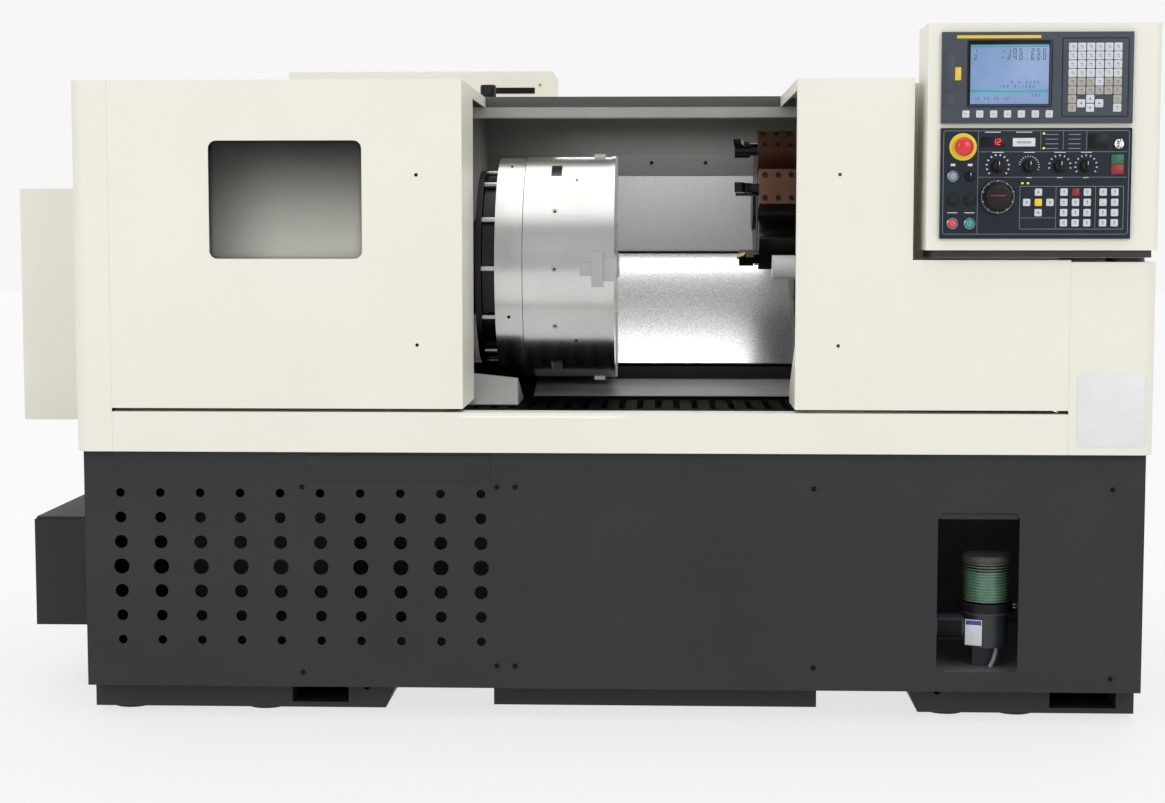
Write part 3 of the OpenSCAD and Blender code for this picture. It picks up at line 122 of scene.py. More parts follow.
def swept(path, section, closed=False, up=(0, 0, 1)):
    """Carry a closed section (across, up) along a path: each ring sits square to the path there."""
    path = np.asarray(path, float)
    ahead = np.roll(path, -1, 0) - np.roll(path, 1, 0) if closed else np.gradient(path, axis=0)
    ahead /= np.linalg.norm(ahead, axis=1, keepdims=True)
    across = np.cross(ahead, np.asarray(up, float))
    across /= np.linalg.norm(across, axis=1, keepdims=True)
    lift = np.cross(across, ahead)
    section = np.asarray(section, float)
    points = path[:, None] + section[None, :, :1] * across[:, None] + section[None, :, 1:] * lift[:, None]
    n = len(section)
    if closed:
        return points.reshape(-1, 3), [grid_faces(len(path) + 1, n) % (len(path) * n)]
    caps = [np.arange(n)[None, ::-1], (np.arange(n) + (len(path) - 1) * n)[None, :]]
    return points.reshape(-1, 3), [grid_faces(len(path), n), *caps]


def prism(outline, lo, hi):
    """Flat plate: an outline of (x, z) points in millimetres, from one Y to another."""
    flat = np.asarray(outline, float)
    n = len(flat)
    ends = [np.column_stack([flat[:, 0], np.full(n, y), flat[:, 1]]) for y in (lo, hi)]
    caps = [np.arange(n)[None, :], np.arange(n, 2 * n)[None, ::-1]]
    return np.concatenate(ends) * MM, [grid_faces(2, n), *caps]


def circle(r, steps=16):
    """Points round a circle: (r cos a, r sin a)."""
    a = np.linspace(0, 2 * np.pi, steps, endpoint=False)
    return np.stack([r * np.cos(a), r * np.sin(a)], -1)


print("a turned disc has", len(turned([(0, 0), (1, 0)])[0]), "points before its middle is merged")

# %% [markdown]
# ## From numbers to pieces
# A shape is turned, copied to its places and joined with others as plain arrays. Only then does it become a
# mesh: doubles are merged, so seams and poles close, and the faces are made to point outwards. Every piece
# rides on the body that carries it, so it follows the joints.

# %% Placing and making pieces
TO_FRONT = np.array([[1, 0, 0], [0, 0, -1], [0, 1, 0]], float)
TO_X = np.array([[0, 0, 1], [0, 1, 0], [-1, 0, 0]], float)
MERGE = 2e-6


def placed(shape, at, turn=None):
    """Turn a shape by a 3 by 3 matrix and move it: p' = R p + t."""
    points, faces = shape
    points = points if turn is None else points @ np.asarray(turn).T
    return points + np.asarray(at, float), faces


def joined(*shapes):
    """Stack the points of several shapes, each one's face corners counted on from the points before it."""
    counts = np.cumsum([0] + [len(points) for points, _ in shapes])
    faces = [face + start for (_, group), start in zip(shapes, counts) for face in group]
    return np.concatenate([points for points, _ in shapes]), faces


def copies(shape, places):
    """Repeat a shape at many places at once: every point plus every place, by broadcasting."""
    points, faces = shape
    places = np.asarray(places, float)
    step = np.arange(len(places))[:, None, None] * len(points)
    spread = [(face[None] + step).reshape(-1, face.shape[1]) for face in faces]
    return (places[:, None] + points[None]).reshape(-1, 3), spread


def about_x(degrees):
    """Matrix that turns Y towards Z by an angle, about X."""
    c, s = math.cos(math.radians(degrees)), math.sin(math.radians(degrees))
    return np.array([[1, 0, 0], [0, c, -s], [0, s, c]])


def piece(name, shape, finish, body, sharp=35):
    """Make the mesh of a shape, close its seams, point its faces outwards and let it ride on its body."""
    points, faces = shape
    mesh = bpy.data.meshes.new(name)
    mesh.from_pydata(points.tolist(), [], [corner for face in faces for corner in face.tolist()])
    work = bmesh.new()
    work.from_mesh(mesh)
    bmesh.ops.remove_doubles(work, verts=work.verts, dist=MERGE)
    bmesh.ops.dissolve_degenerate(work, edges=work.edges, dist=TINY)
    bmesh.ops.recalc_face_normals(work, faces=work.faces)
    work.to_mesh(mesh)
    work.free()
    mesh.shade_smooth()
    mesh.set_sharp_from_angle(angle=math.radians(sharp))
    mesh.materials.append(finish)
    obj = bpy.data.objects.new(name, mesh)
    bpy.context.scene.collection.objects.link(obj)
    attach(obj, body)
    print("piece", name, len(mesh.polygons), "faces")
    return obj


# %% [markdown]
# ## Camera, sky and lamps
# The photograph was taken from a little above the spindle's height, almost square on, with a long lens. The
# camera stands where the vanishing lines put it. A pale sky, brighter behind the machine than in front of
# it, and large soft lamps give the even light of a studio. Inside, one lamp stands in for the work lamp
# that such a machine has, a narrow one brightens the top of the way cover, and one behind the sill lights
# the chuck from below, as the white floor of a studio does.

# %% Camera
SENSOR, LENS = 36.0, 63.6
CAMERA_AT = (0.2256, -5.3265, 1.1089)
TILT_DOWN, TURN_LEFT = 4.8144, 2.1065
camera = bpy.data.objects.new("camera", bpy.data.cameras.new("camera"))
camera.data.sensor_width = SENSOR
camera.data.lens = LENS
camera.location = CAMERA_AT
camera.rotation_euler = (math.radians(90 - TILT_DOWN), 0, math.radians(TURN_LEFT))
bpy.context.scene.collection.objects.link(camera)
bpy.context.scene.camera = camera
print("camera at", CAMERA_AT)

# %% Sky
FRONT_SKY, BACK_SKY, TOP_SKY = 0.47, 0.93, 1.1
BACK_EDGE, TOP_EDGE = (-0.25, 0.25), (0.68, 0.86)


def links(tree, *pairs):
    """Join (node, socket) to (node, socket), pair by pair."""
    for (a, out), (b, into) in pairs:
        tree.links.new(a.outputs[out], b.inputs[into])


def ranged(tree, low, high, start=0.0, end=1.0):
    """Node that carries start to low and end to high, straight in between and level outside."""
    node = tree.nodes.new("ShaderNodeMapRange")
    for socket, value in (("From Min", start), ("From Max", end), ("To Min", low), ("To Max", high)):
        node.inputs[socket].default_value = value
    return node


world = bpy.data.worlds.new("studio")
world.use_nodes = True
tree = world.node_tree
sky, level = tree.nodes["Background"], tree.nodes.new("ShaderNodeMath")
toward, split = tree.nodes.new("ShaderNodeTexCoord"), tree.nodes.new("ShaderNodeSeparateXYZ")
behind = ranged(tree, FRONT_SKY, BACK_SKY, *BACK_EDGE)
above = ranged(tree, 0.0, TOP_SKY, *TOP_EDGE)
sky.inputs["Color"].default_value = (1, 1, 1, 1)
links(tree, ((toward, "Generated"), (split, "Vector")), ((split, "Y"), (behind, "Value")),
      ((split, "Z"), (above, "Value")), ((behind, "Result"), (level, 0)), ((above, "Result"), (level, 1)),
      ((level, "Value"), (sky, "Strength")))
bpy.context.scene.world = world
bpy.context.scene.view_settings.view_transform = "Standard"
print("sky", FRONT_SKY, "in front,", BACK_SKY, "behind and", TOP_SKY, "more overhead")

# %% Lamps
def lamp(name, at, target, wide, deep, power, beam):
    """Soft lamp at a point, aimed at another: its two sizes, its watts and the full angle of its light."""
    light = bpy.data.lights.new(name, "AREA")
    light.shape = "RECTANGLE"
    light.size, light.size_y = wide, deep
    light.energy = power
    light.spread = math.radians(beam)
    obj = bpy.data.objects.new(name, light)
    obj.location = at
    obj.rotation_euler = (Vector(target) - Vector(at)).to_track_quat("-Z", "Y").to_euler()
    obj.visible_camera = False
    bpy.context.scene.collection.objects.link(obj)


# Name, place, aim, width, depth, watts, beam in degrees
LAMPS = (
    ("left_lamp", (-2.9, -5.8, 2.9), (0.1, -0.7, 0.8), 3.0, 3.0, 80, 180),
    ("right_lamp", (3.1, -5.8, 2.9), (0.1, -0.7, 0.8), 3.0, 3.0, 80, 180),
    ("back_lamp", (-0.5, 5.5, 4.5), (0.1, 0.5, 0.8), 4.0, 4.0, 25, 180),
    ("work_lamp", (0.25, 0.225, 1.425), (0.25, 0.215, 0.9), 0.6, 0.14, 1.5, 160),
    ("wall_lamp", (0.22, 0.435, 1.085), (0.22, 0.345, 0.985), 0.6, 0.03, 0.05, 88),
    ("sill_lamp", (-0.03, -0.6, 0.689), (-0.03, -0.6, 1.7), 0.36, 0.36, 0.3, 180),
)
for row in LAMPS:
    lamp(*row)
print("lamps", len(LAMPS))

# %% [markdown]
# ## Finishes
# The sheets carry a fine-textured enamel: the colour drifts a little over a hand's width, and a close grain
# gives the surface its orange-peel sheen. Ground steel has a grain along one direction only. Each finish
# reads Object coordinates in metres, so its grain has a real size wherever it is used.

# %% What the finishes share
def new_finish(name):
    """Empty material with its Principled shader."""
    mat = bpy.data.materials.new(name)
    mat.use_nodes = True
    return mat, mat.node_tree, mat.node_tree.nodes["Principled BSDF"]


def ramp(tree, low, high, start=0.35, end=0.65):
    """Two-colour ramp between two positions."""
    node = tree.nodes.new("ShaderNodeValToRGB")
    node.color_ramp.elements[0].position = start
    node.color_ramp.elements[1].position = end
    node.color_ramp.elements[0].color = (*low, 1)
    node.color_ramp.elements[1].color = (*high, 1)
    return node


def noise(tree, scale, detail=4.0, rough=0.55, stretch=None):
    """Noise over Object coordinates, scale in waves a metre; stretch multiplies the three axes."""
    coords = tree.nodes.new("ShaderNodeTexCoord")
    texture = tree.nodes.new("ShaderNodeTexNoise")
    texture.inputs["Scale"].default_value = scale
    texture.inputs["Detail"].default_value = detail
    texture.inputs["Roughness"].default_value = rough
    if stretch is None:
        links(tree, ((coords, "Object"), (texture, "Vector")))
    else:
        mapping = tree.nodes.new("ShaderNodeMapping")
        mapping.inputs["Scale"].default_value = stretch
        links(tree, ((coords, "Object"), (mapping, "Vector")), ((mapping, "Vector"), (texture, "Vector")))
    return texture


def bumped(tree, shader, texture, height, strength=1.0):
    """Bump from a noise: height is the depth of its grain in metres."""
    bump = tree.nodes.new("ShaderNodeBump")
    bump.inputs["Strength"].default_value = strength
    bump.inputs["Distance"].default_value = height
    links(tree, ((texture, "Fac"), (bump, "Height")), ((bump, "Normal"), (shader, "Normal")))


def textured(tree, shader, wide, close, colour, drift, rough, spread, ends=(0.35, 0.65)):
    """Colour follows the wide noise, darker and lighter by its drift; roughness follows the close noise."""
    colour = np.asarray(colour)
    tint = ramp(tree, colour * (1 - drift), np.minimum(colour * (1 + drift), 1), *ends)
    shine = ranged(tree, rough - spread, rough + spread)
    links(tree, ((wide, "Fac"), (tint, "Fac")), ((tint, "Color"), (shader, "Base Color")),
          ((close, "Fac"), (shine, "Value")), ((shine, "Result"), (shader, "Roughness")))


# %% Enamel and plastic
COAT_SPREAD = 0.08


def grained(name, colour, rough, drift, grain, height, patch, coat=0.0, gloss=0.5):
    """Coat whose colour drifts over patches and whose roughness and bump follow a close grain.

    Grain and patch are in waves a metre, and height is the depth of the grain in metres."""
    mat, tree, shader = new_finish(name)
    wide, close = noise(tree, patch), noise(tree, grain, 3)
    textured(tree, shader, wide, close, colour, drift, rough, COAT_SPREAD)
    shader.inputs["Coat Weight"].default_value = coat
    shader.inputs["Specular IOR Level"].default_value = gloss
    bumped(tree, shader, close, height)
    return mat


# Each line: name, colour, roughness, drift, grain, height, patch
cream_enamel = grained("cream_enamel", (0.77, 0.755, 0.67), 0.42, 0.012, 900, 0.00008, 3)
charcoal_enamel = grained("charcoal_enamel", (0.026, 0.0275, 0.03), 0.55, 0.06, 800, 0.00012, 4, gloss=0.25)
casting_paint = grained("casting_paint", (0.13, 0.135, 0.14), 0.55, 0.1, 300, 0.0003, 8)
wall_grey = grained("wall_grey", (0.19, 0.19, 0.178), 0.5, 0.08, 500, 0.00015, 5)
header_grey = grained("header_grey", (0.36, 0.355, 0.335), 0.45, 0.05, 500, 0.0001, 5)
tray_black = grained("tray_black", (0.004, 0.004, 0.0045), 0.6, 0.15, 500, 0.0002, 9, gloss=0.02)
motor_black = grained("motor_black", (0.015, 0.015, 0.017), 0.45, 0.2, 400, 0.0002, 12)
belt_rubber = grained("belt_rubber", (0.012, 0.012, 0.012), 0.7, 0.2, 600, 0.0002, 20)
panel_navy = grained("panel_navy", (0.011, 0.017, 0.027), 0.42, 0.08, 900, 0.00006, 14, gloss=0.2)
bezel_grey = grained("bezel_grey", (0.042, 0.052, 0.07), 0.4, 0.06, 900, 0.00006, 14, gloss=0.35)
pump_grey = grained("pump_grey", (0.022, 0.026, 0.033), 0.45, 0.1, 400, 0.0002, 14)
stop_red = grained("stop_red", (0.62, 0.02, 0.016), 0.25, 0.05, 300, 0.00002, 20, coat=0.3)
knob_black = grained("knob_black", (0.009, 0.009, 0.0105), 0.38, 0.15, 900, 0.00006, 25, gloss=0.22)
lens_grey = grained("lens_grey", (0.24, 0.29, 0.34), 0.3, 0.06, 300, 0.00002, 25, coat=0.3)
lens_red = grained("lens_red", (0.62, 0.05, 0.07), 0.25, 0.06, 300, 0.00002, 25, coat=0.3)
lens_green = grained("lens_green", (0.02, 0.32, 0.27), 0.25, 0.06, 300, 0.00002, 25, coat=0.3)
print("coats", len(bpy.data.materials))

# %% Steel
STEEL_SPREAD, STEEL_PATCH, STEEL_ENDS = 0.07, 5, (0.3, 0.7)
BLAST_SPREAD, BLAST_HEIGHT = 0.06, 0.0001


def ground_steel(name, colour, rough, stretch, height, drift=0.06):
    """Bare metal ground along one direction: its noise is drawn out by the stretch of the coordinates."""
    mat, tree, shader = new_finish(name)
    wide, lines = noise(tree, STEEL_PATCH), noise(tree, 1.0, 2, 0.6, stretch)
    textured(tree, shader, wide, lines, colour, drift, rough, STEEL_SPREAD, STEEL_ENDS)
    shader.inputs["Metallic"].default_value = 1.0
    bumped(tree, shader, lines, height, 0.5)
    return mat


def speckled(name, colour, rough, grain, contrast, metallic):
    """Blasted sheet: one fine noise, grain waves a metre, gives its speckle, its sheen and its bump."""
    mat, tree, shader = new_finish(name)
    fine = noise(tree, grain, 2, 0.7)
    textured(tree, shader, fine, fine, colour, contrast, rough, BLAST_SPREAD, STEEL_ENDS)
    shader.inputs["Metallic"].default_value = metallic
    bumped(tree, shader, fine, BLAST_HEIGHT, 0.4)
    return mat


# Each line: name, colour, roughness, stretch of the grain, height, drift
turned_steel = ground_steel("turned_steel", (0.66, 0.645, 0.63), 0.24, (900, 25, 25), 0.00002)
drawn_steel = ground_steel("drawn_steel", (0.66, 0.66, 0.66), 0.3, (40, 700, 700), 0.00004)
black_oxide = ground_steel("black_oxide", (0.045, 0.045, 0.048), 0.38, (300, 300, 300), 0.00008, 0.2)
bronzed_steel = ground_steel("bronzed_steel", (0.23, 0.115, 0.075), 0.42, (200, 200, 200), 0.00008, 0.25)
tool_steel = ground_steel("tool_steel", (0.03, 0.03, 0.033), 0.38, (60, 600, 600), 0.00005, 0.15)
ring_steel = ground_steel("ring_steel", (0.3, 0.33, 0.37), 0.3, (300, 300, 300), 0.00001, 0.03)
bright_chrome = ground_steel("bright_chrome", (0.8, 0.8, 0.81), 0.12, (300, 300, 300), 0.00001, 0.03)
jaw_steel = ground_steel("jaw_steel", (0.47, 0.485, 0.49), 0.36, (900, 60, 60), 0.00002)
blasted_stainless = speckled("blasted_stainless", (0.74, 0.74, 0.735), 0.3, 230, 0.3, 0.85)
quill_steel = speckled("quill_steel", (0.9, 0.9, 0.9), 0.3, 600, 0.02, 0.0)
print("finishes", len(bpy.data.materials))

# %% Glass and clear plastic
SMEAR = 0.06


def clear(name, colour, rough, ior):
    """See-through material: light passes with a little tint, and a faint smear varies its roughness."""
    mat, tree, shader = new_finish(name)
    smear, shine = noise(tree, 9), ranged(tree, rough, rough + SMEAR)
    links(tree, ((smear, "Fac"), (shine, "Value")), ((shine, "Result"), (shader, "Roughness")))
    shader.inputs["Base Color"].default_value = (*colour, 1)
    shader.inputs["Transmission Weight"].default_value = 1.0
    shader.inputs["IOR"].default_value = ior
    return mat


window_glass = clear("window_glass", (0.96, 0.965, 0.955), 0.02, 1.05)
reservoir_plastic = clear("reservoir_plastic", (0.85, 0.93, 0.9), 0.08, 1.2)
print("clear", window_glass.name, reservoir_plastic.name)

# %% [markdown]
# ## Finishes on the solids
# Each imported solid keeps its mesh, since it already has the right shape. Only the material in its slot is
# exchanged for the finish of the real piece, so one table of names is enough.

# %% Dress the solids
DRESS = {
    cream_enamel: "front_panels left_door right_door rear_enclosure electric_cabinet cabinet_door "
                  "pendant_box",
    charcoal_enamel: "base_front_panel base_side_panels feet hydraulic_tank",
    casting_paint: "bed_casting headstock tailstock saddle cross_slide turret_housing",
    turned_steel: "chuck_body chuck_front_plate spindle spindle_bearings",
    jaw_steel: "jaw_1 jaw_2 jaw_3 jaw_4",
    quill_steel: "quill",
    drawn_steel: "z_rails z_screw x_screw",
    black_oxide: "chuck_backplate turret_disc motor_pulley spindle_pulley",
    wall_grey: "splash_walls",
    header_grey: "header_rail",
    blasted_stainless: "way_cover",
    tray_black: "chip_tray",
    motor_black: "main_motor z_motor x_motor pendant_neck",
    belt_rubber: "drive_belt",
    bronzed_steel: "tool_holders",
    tool_steel: "cutting_tools",
    window_glass: "door_window",
    pump_grey: "lube_pump",
    reservoir_plastic: "lube_reservoir",
    panel_navy: "operator_panel",
    bezel_grey: "display_unit",
    stop_red: "estop",
    knob_black: "selector_1 selector_2 selector_3 selector_4 selector_small handwheel",
    bright_chrome: "key_switch",
    lens_grey: "push_grey",
    lens_red: "push_red",
    lens_green: "push_green",
}
for finish, names in DRESS.items():
    for name in names.split():
        for slot in nodes[name].material_slots:
            slot.material = finish
print("dressed", sum(len(names.split()) for names in DRESS.values()), "of", len(nodes))

# %% [markdown]
# ## Key caps of the pendant
# The panel's keys are moulded caps on a membrane. The solids hold plain square keys, so each gets a cap
# with a soft edge that fits over it. One cap is worked out once and copied to a table of places. The
# legends are small bars, dots and arrows. A cap could be an object of its own, but one mesh for all the
# caps of a colour is lighter.

# %% Cap finishes
key_white = grained("key_white", (0.55, 0.57, 0.62), 0.38, 0.03, 500, 0.00004, 40)
key_tan = grained("key_tan", (0.36, 0.34, 0.31), 0.42, 0.05, 500, 0.00004, 40)
key_yellow = grained("key_yellow", (0.75, 0.55, 0.02), 0.38, 0.05, 500, 0.00004, 40)
key_red = grained("key_red", (0.27, 0.006, 0.014), 0.35, 0.05, 500, 0.00004, 40)
key_green = grained("key_green", (0.006, 0.12, 0.055), 0.35, 0.05, 500, 0.00004, 40)
print_dark = grained("print_dark", (0.05, 0.055, 0.07), 0.5, 0.1, 500, 0.00002, 60)
print_light = grained("print_light", (0.62, 0.65, 0.68), 0.5, 0.04, 500, 0.00002, 60)
line_grey = grained("line_grey", (0.2, 0.23, 0.27), 0.5, 0.05, 500, 0.00002, 60)
print("finishes", len(bpy.data.materials))

# %% Places on the pendant
PANEL_LO = np.array(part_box("operator_panel")[0])
DISPLAY_LO = np.array(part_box("display_unit")[0])
PANEL_THICK = 10 * MM
FACE_Y = float(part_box("pendant_box")[0][1]) - PANEL_THICK


def on_panel(x, z, out=0.0):
    """Place on the operator panel: millimetres from its lower left corner, and out from its face."""
    return np.array([PANEL_LO[0] + x * MM, FACE_Y - out * MM, PANEL_LO[2] + z * MM])


def on_display(x, z, out=0.0):
    """Place on the display unit: millimetres from its lower left corner, and out from its face."""
    return np.array([DISPLAY_LO[0] + x * MM, FACE_Y - out * MM, DISPLAY_LO[2] + z * MM])


def panel_piece(name, shape, finish):
    """Piece fixed to the pendant, with the finish it is given."""
    return piece(name, shape, finish, "pendant")


def key_places(start, step, cells):
    """Places of keys in a field: the first key's place plus whole steps across and up."""
    return [(start[0] + column * step[0], start[1] + row * step[1]) for column, row in cells]


KEY_STEP, FIELD_STEP, ARROW_STEP, SOFT_STEP = (25, 22), (19.3, 18.5), (19.3, 9.6), (29.7, 0)
JOG_AT, GRID_AT, PAIR_AT, FIELD_AT = (185.4, 56.3), (265.2, 34.4), (349.0, 34.4), (278.5, 33.0)
ARROWS_AT, SOFT_AT = (317.1, 42.3), (52.1, 19.8)
YELLOW_CELL, RED_CELL = (1, 1), (1, 3)
white_cells = [(i, k) for k in range(4, 8) for i in range(6)] + [(3, 3), (5, 0)]
tan_cells = [(i, 3) for i in (0, 1, 2, 4, 5)] + [(i, 2) for i in range(6)] + [(0, 1), (5, 1), (0, 0)]
JOG = key_places(JOG_AT, KEY_STEP, ((1, 0), (0, 1), (2, 1), (1, 2)))
GRID = key_places(GRID_AT, KEY_STEP, [(i, k) for i in range(3) for k in range(4) if (i, k) != RED_CELL])
PAIR = key_places(PAIR_AT, KEY_STEP, [(i, k) for i in range(2) for k in range(4)])
FIELD_WHITE = key_places(FIELD_AT, FIELD_STEP, white_cells)
FIELD_TAN = key_places(FIELD_AT, FIELD_STEP, tan_cells)
ARROWS = key_places(ARROWS_AT, ARROW_STEP, ((0, 1), (-1, 0), (1, 0), (0, -1)))
SOFT = key_places(SOFT_AT, SOFT_STEP, [(i, 0) for i in range(7)])
print("keys", sum(map(len, (JOG, GRID, PAIR, FIELD_WHITE, FIELD_TAN, ARROWS, SOFT))) + 2)

# %% Caps
CAP_OUT, CAP_OVER, CAP_ROUND, CAP_BEVEL = 3.3, 0.8, 2.2, 0.9
PANEL_KEY, DISPLAY_KEY = 15, 16.8


def caps(name, face, places, side, finish):
    """Key caps at many places of a face: one rounded slab a little larger than the key inside it."""
    wide = (side + CAP_OVER) * MM
    cap = slab(wide, wide, CAP_OUT * MM, CAP_ROUND * MM, CAP_BEVEL * MM)
    return panel_piece(name, copies(cap, [face(x, z) for x, z in places]), finish)


caps("panel_keys_white", on_panel, JOG + GRID + PAIR, PANEL_KEY, key_white)
caps("panel_key_yellow", on_panel, key_places(JOG_AT, KEY_STEP, [YELLOW_CELL]), PANEL_KEY, key_yellow)
caps("panel_key_red", on_panel, key_places(GRID_AT, KEY_STEP, [RED_CELL]), PANEL_KEY, key_red)
caps("display_keys_white", on_display, FIELD_WHITE + ARROWS, DISPLAY_KEY, key_white)
caps("display_keys_tan", on_display, FIELD_TAN, DISPLAY_KEY, key_tan)
caps("display_soft_keys", on_display, SOFT, PANEL_KEY, key_white)

# %% Legends on the caps
INK, INK_BEVEL, ARROW_R = 0.15, 0.04, 2.9


def printed(w, h, r=0.3, steps=2):
    """Printed stroke, in millimetres: a slab as thin as its ink."""
    return slab(w * MM, h * MM, INK * MM, r * MM, INK_BEVEL * MM, steps)


def arrow(turn):
    """Flat arrowhead facing -Y: a triangle with equal sides, turned in the face's plane."""
    a = np.radians(np.array([90, 210, 330]) + turn)
    return prism(ARROW_R * np.column_stack([np.cos(a), np.sin(a)]), 0, -INK)


bar, short_bar, dot = printed(6.0, 1.3), printed(3.6, 1.2), printed(3.2, 3.2, 1.6, 4)
# Face, stroke, keys that carry it, its offset from the middle of the key
LEGENDS = (
    (on_panel, bar, GRID[::2] + PAIR[::3], (0, 2.2)),
    (on_panel, short_bar, GRID + PAIR, (0, -2.0)),
    (on_panel, dot, GRID[1::2] + PAIR[1::3], (0, 2.0)),
    (on_display, bar, FIELD_WHITE + FIELD_TAN, (0, 1.8)),
    (on_display, short_bar, FIELD_WHITE + FIELD_TAN, (1.4, -2.2)),
    (on_display, short_bar, SOFT, (0, 0)),
)
legends = [copies(stroke, [face(x + right, z + up, CAP_OUT) for x, z in keys])
           for face, stroke, keys, (right, up) in LEGENDS]
panel_piece("key_legends", joined(*legends), print_dark)
JOG_TURNS, ARROW_TURNS = (180, 90, -90, 0), (0, 90, -90, 180)
arrows = [placed(arrow(turn), face(x, z, CAP_OUT))
          for face, keys, turns in ((on_panel, JOG, JOG_TURNS), (on_display, ARROWS, ARROW_TURNS))
          for (x, z), turn in zip(keys, turns)]
panel_piece("arrow_legends", joined(*arrows), print_dark)

# %% [markdown]
# ## The display
# Behind the bezel's opening lies a blue screen. Its picture is drawn with thin plates: two teal strips, a
# few rows of figures and a status line. The bezel has a lid for the memory card at its left, with a plain
# yellow tab, and a plain yellow strip along its top. The key field sits inside a thin raised border. A
# picture could be wrapped on the screen, but plates stay sharp from close by and need no file.

# %% Screen
def lit(name, colour, glow, rough=0.25):
    """Surface that shines by itself: its colour drifts slightly, and the same colour is given off."""
    mat, tree, shader = new_finish(name)
    colour = np.asarray(colour)
    wide = noise(tree, 14)
    tint = ramp(tree, colour * 0.92, np.minimum(colour * 1.06, 1))
    links(tree, ((wide, "Fac"), (tint, "Fac")), ((tint, "Color"), (shader, "Base Color")),
          ((tint, "Color"), (shader, "Emission Color")))
    shader.inputs["Emission Strength"].default_value = glow
    shader.inputs["Roughness"].default_value = rough
    return mat


def plate(place, w, h, d=0.3, r=0.4, bevel=0.08):
    """Thin plate in millimetres, set on a place with its back on the face there."""
    return placed(slab(w * MM, h * MM, d * MM, r * MM, bevel * MM, 3), place)


screen_blue = lit("screen_blue", (0.17, 0.26, 0.45), 0.19)
screen_teal = lit("screen_teal", (0.05, 0.26, 0.31), 0.25)
screen_ink = lit("screen_ink", (0.045, 0.075, 0.17), 0.25)
led_red = lit("led_red", (0.8, 0.015, 0.02), 1.6)
led_amber = lit("led_amber", (0.65, 0.55, 0.02), 0.7)
strip_yellow = grained("strip_yellow", (0.72, 0.5, 0.03), 0.4, 0.04, 500, 0.00002, 30)
screen_black = grained("screen_black", (0.006, 0.007, 0.009), 0.3, 0.1, 500, 0.00002, 30, gloss=0.2)
EDGE_AT, EDGE_SIZE, EDGE_THICK = (143.1, 107), (175, 135.6), 0.6
SCREEN_X, SCREEN_Z = 145.4, 104.6
SCREEN_WIDE, SCREEN_TALL, SCREEN_THICK = 168, 127, 0.5
SCREEN_BACK = -4.0
SCREEN_OUT = SCREEN_BACK + EDGE_THICK
SCREEN_TOP = SCREEN_OUT + SCREEN_THICK
STRIPS = ((165.4, 5.2), (69.6, 6.5))
panel_piece("screen_edge", plate(on_display(*EDGE_AT, SCREEN_BACK), *EDGE_SIZE, EDGE_THICK), screen_black)
screen = plate(on_display(SCREEN_X, SCREEN_Z, SCREEN_OUT), SCREEN_WIDE, SCREEN_TALL, SCREEN_THICK)
panel_piece("screen", screen, screen_blue)
strips = [plate(on_display(SCREEN_X, z, SCREEN_TOP), SCREEN_WIDE, tall, INK) for z, tall in STRIPS]
panel_piece("screen_strips", joined(*strips), screen_teal)

# %% Figures on the screen
SEGMENTS = {"0": "abcdef", "1": "bc", "2": "abged", "3": "abgcd", "4": "fgbc", "5": "afgcd", "6": "afgedc",
            "7": "abc", "8": "abcdefg", "9": "abcdfg", "-": "g"}
SEGMENT_PLACE = {"a": (0, 1, 0), "b": (0.5, 0.5, 1), "c": (0.5, -0.5, 1), "d": (0, -1, 0),
                 "e": (-0.5, -0.5, 1), "f": (-0.5, 0.5, 1), "g": (0, 0, 0)}
STROKE = (INK, 0.1, 0.03)


def figures(text, place, pitch, tall, thick):
    """Row of seven-segment figures: each stroke is a thin plate in a cell half as wide as tall."""
    strokes = []
    for k, sign in enumerate(text):
        if sign == ".":
            strokes.append(plate(place + [(k * pitch) * MM, 0, -tall / 2 * MM], thick, thick, *STROKE))
        for name in SEGMENTS.get(sign, ""):
            x, z, upright = SEGMENT_PLACE[name]
            at = place + np.array([(k * pitch + x * tall / 2) * MM, 0, z * tall / 2 * MM])
            w, h = (thick, tall / 2) if upright else (tall / 2, thick)
            strokes.append(plate(at, w, h, *STROKE))
    return joined(*strokes)


# Text, place of the first figure, pitch, height, thickness of a stroke
SCREEN_ROWS = (
    ("-105.250", (131, 154), 12.6, 10, 1.6),
    ("-240.600", (131, 141), 12.6, 10, 1.6),
    ("1", (72, 154), 11, 9, 1.4),
    ("2", (72, 141), 11, 9, 1.4),
    ("0 0 6000", (150, 88), 8, 5, 0.8),
    ("100 0 1200", (125, 79), 8, 5, 0.8),
    ("10 20 30 40", (72, 53), 7, 5, 0.8),
    ("500", (195, 60), 7, 5, 0.8),
)
rows = [figures(text, on_display(*at, SCREEN_TOP), *sizes) for text, at, *sizes in SCREEN_ROWS]
panel_piece("screen_figures", joined(*rows), screen_ink)

# %% Bezel strip, card lid and borders
def border(place, w, h, r, wide, out):
    """Thin raised border: a flat section swept round a rounded rectangle in the face's plane."""
    ring = rounded_outline(w * MM, h * MM, r * MM, 4)
    path = np.stack([ring[:, 0], np.zeros(len(ring)), ring[:, 1]], -1) + place
    half, high = wide / 2 * MM, out * MM
    section = [(-half, 0), (half, 0), (half * 0.7, high), (-half * 0.7, high)]
    return swept(path, section, closed=True, up=(0, -1, 0))


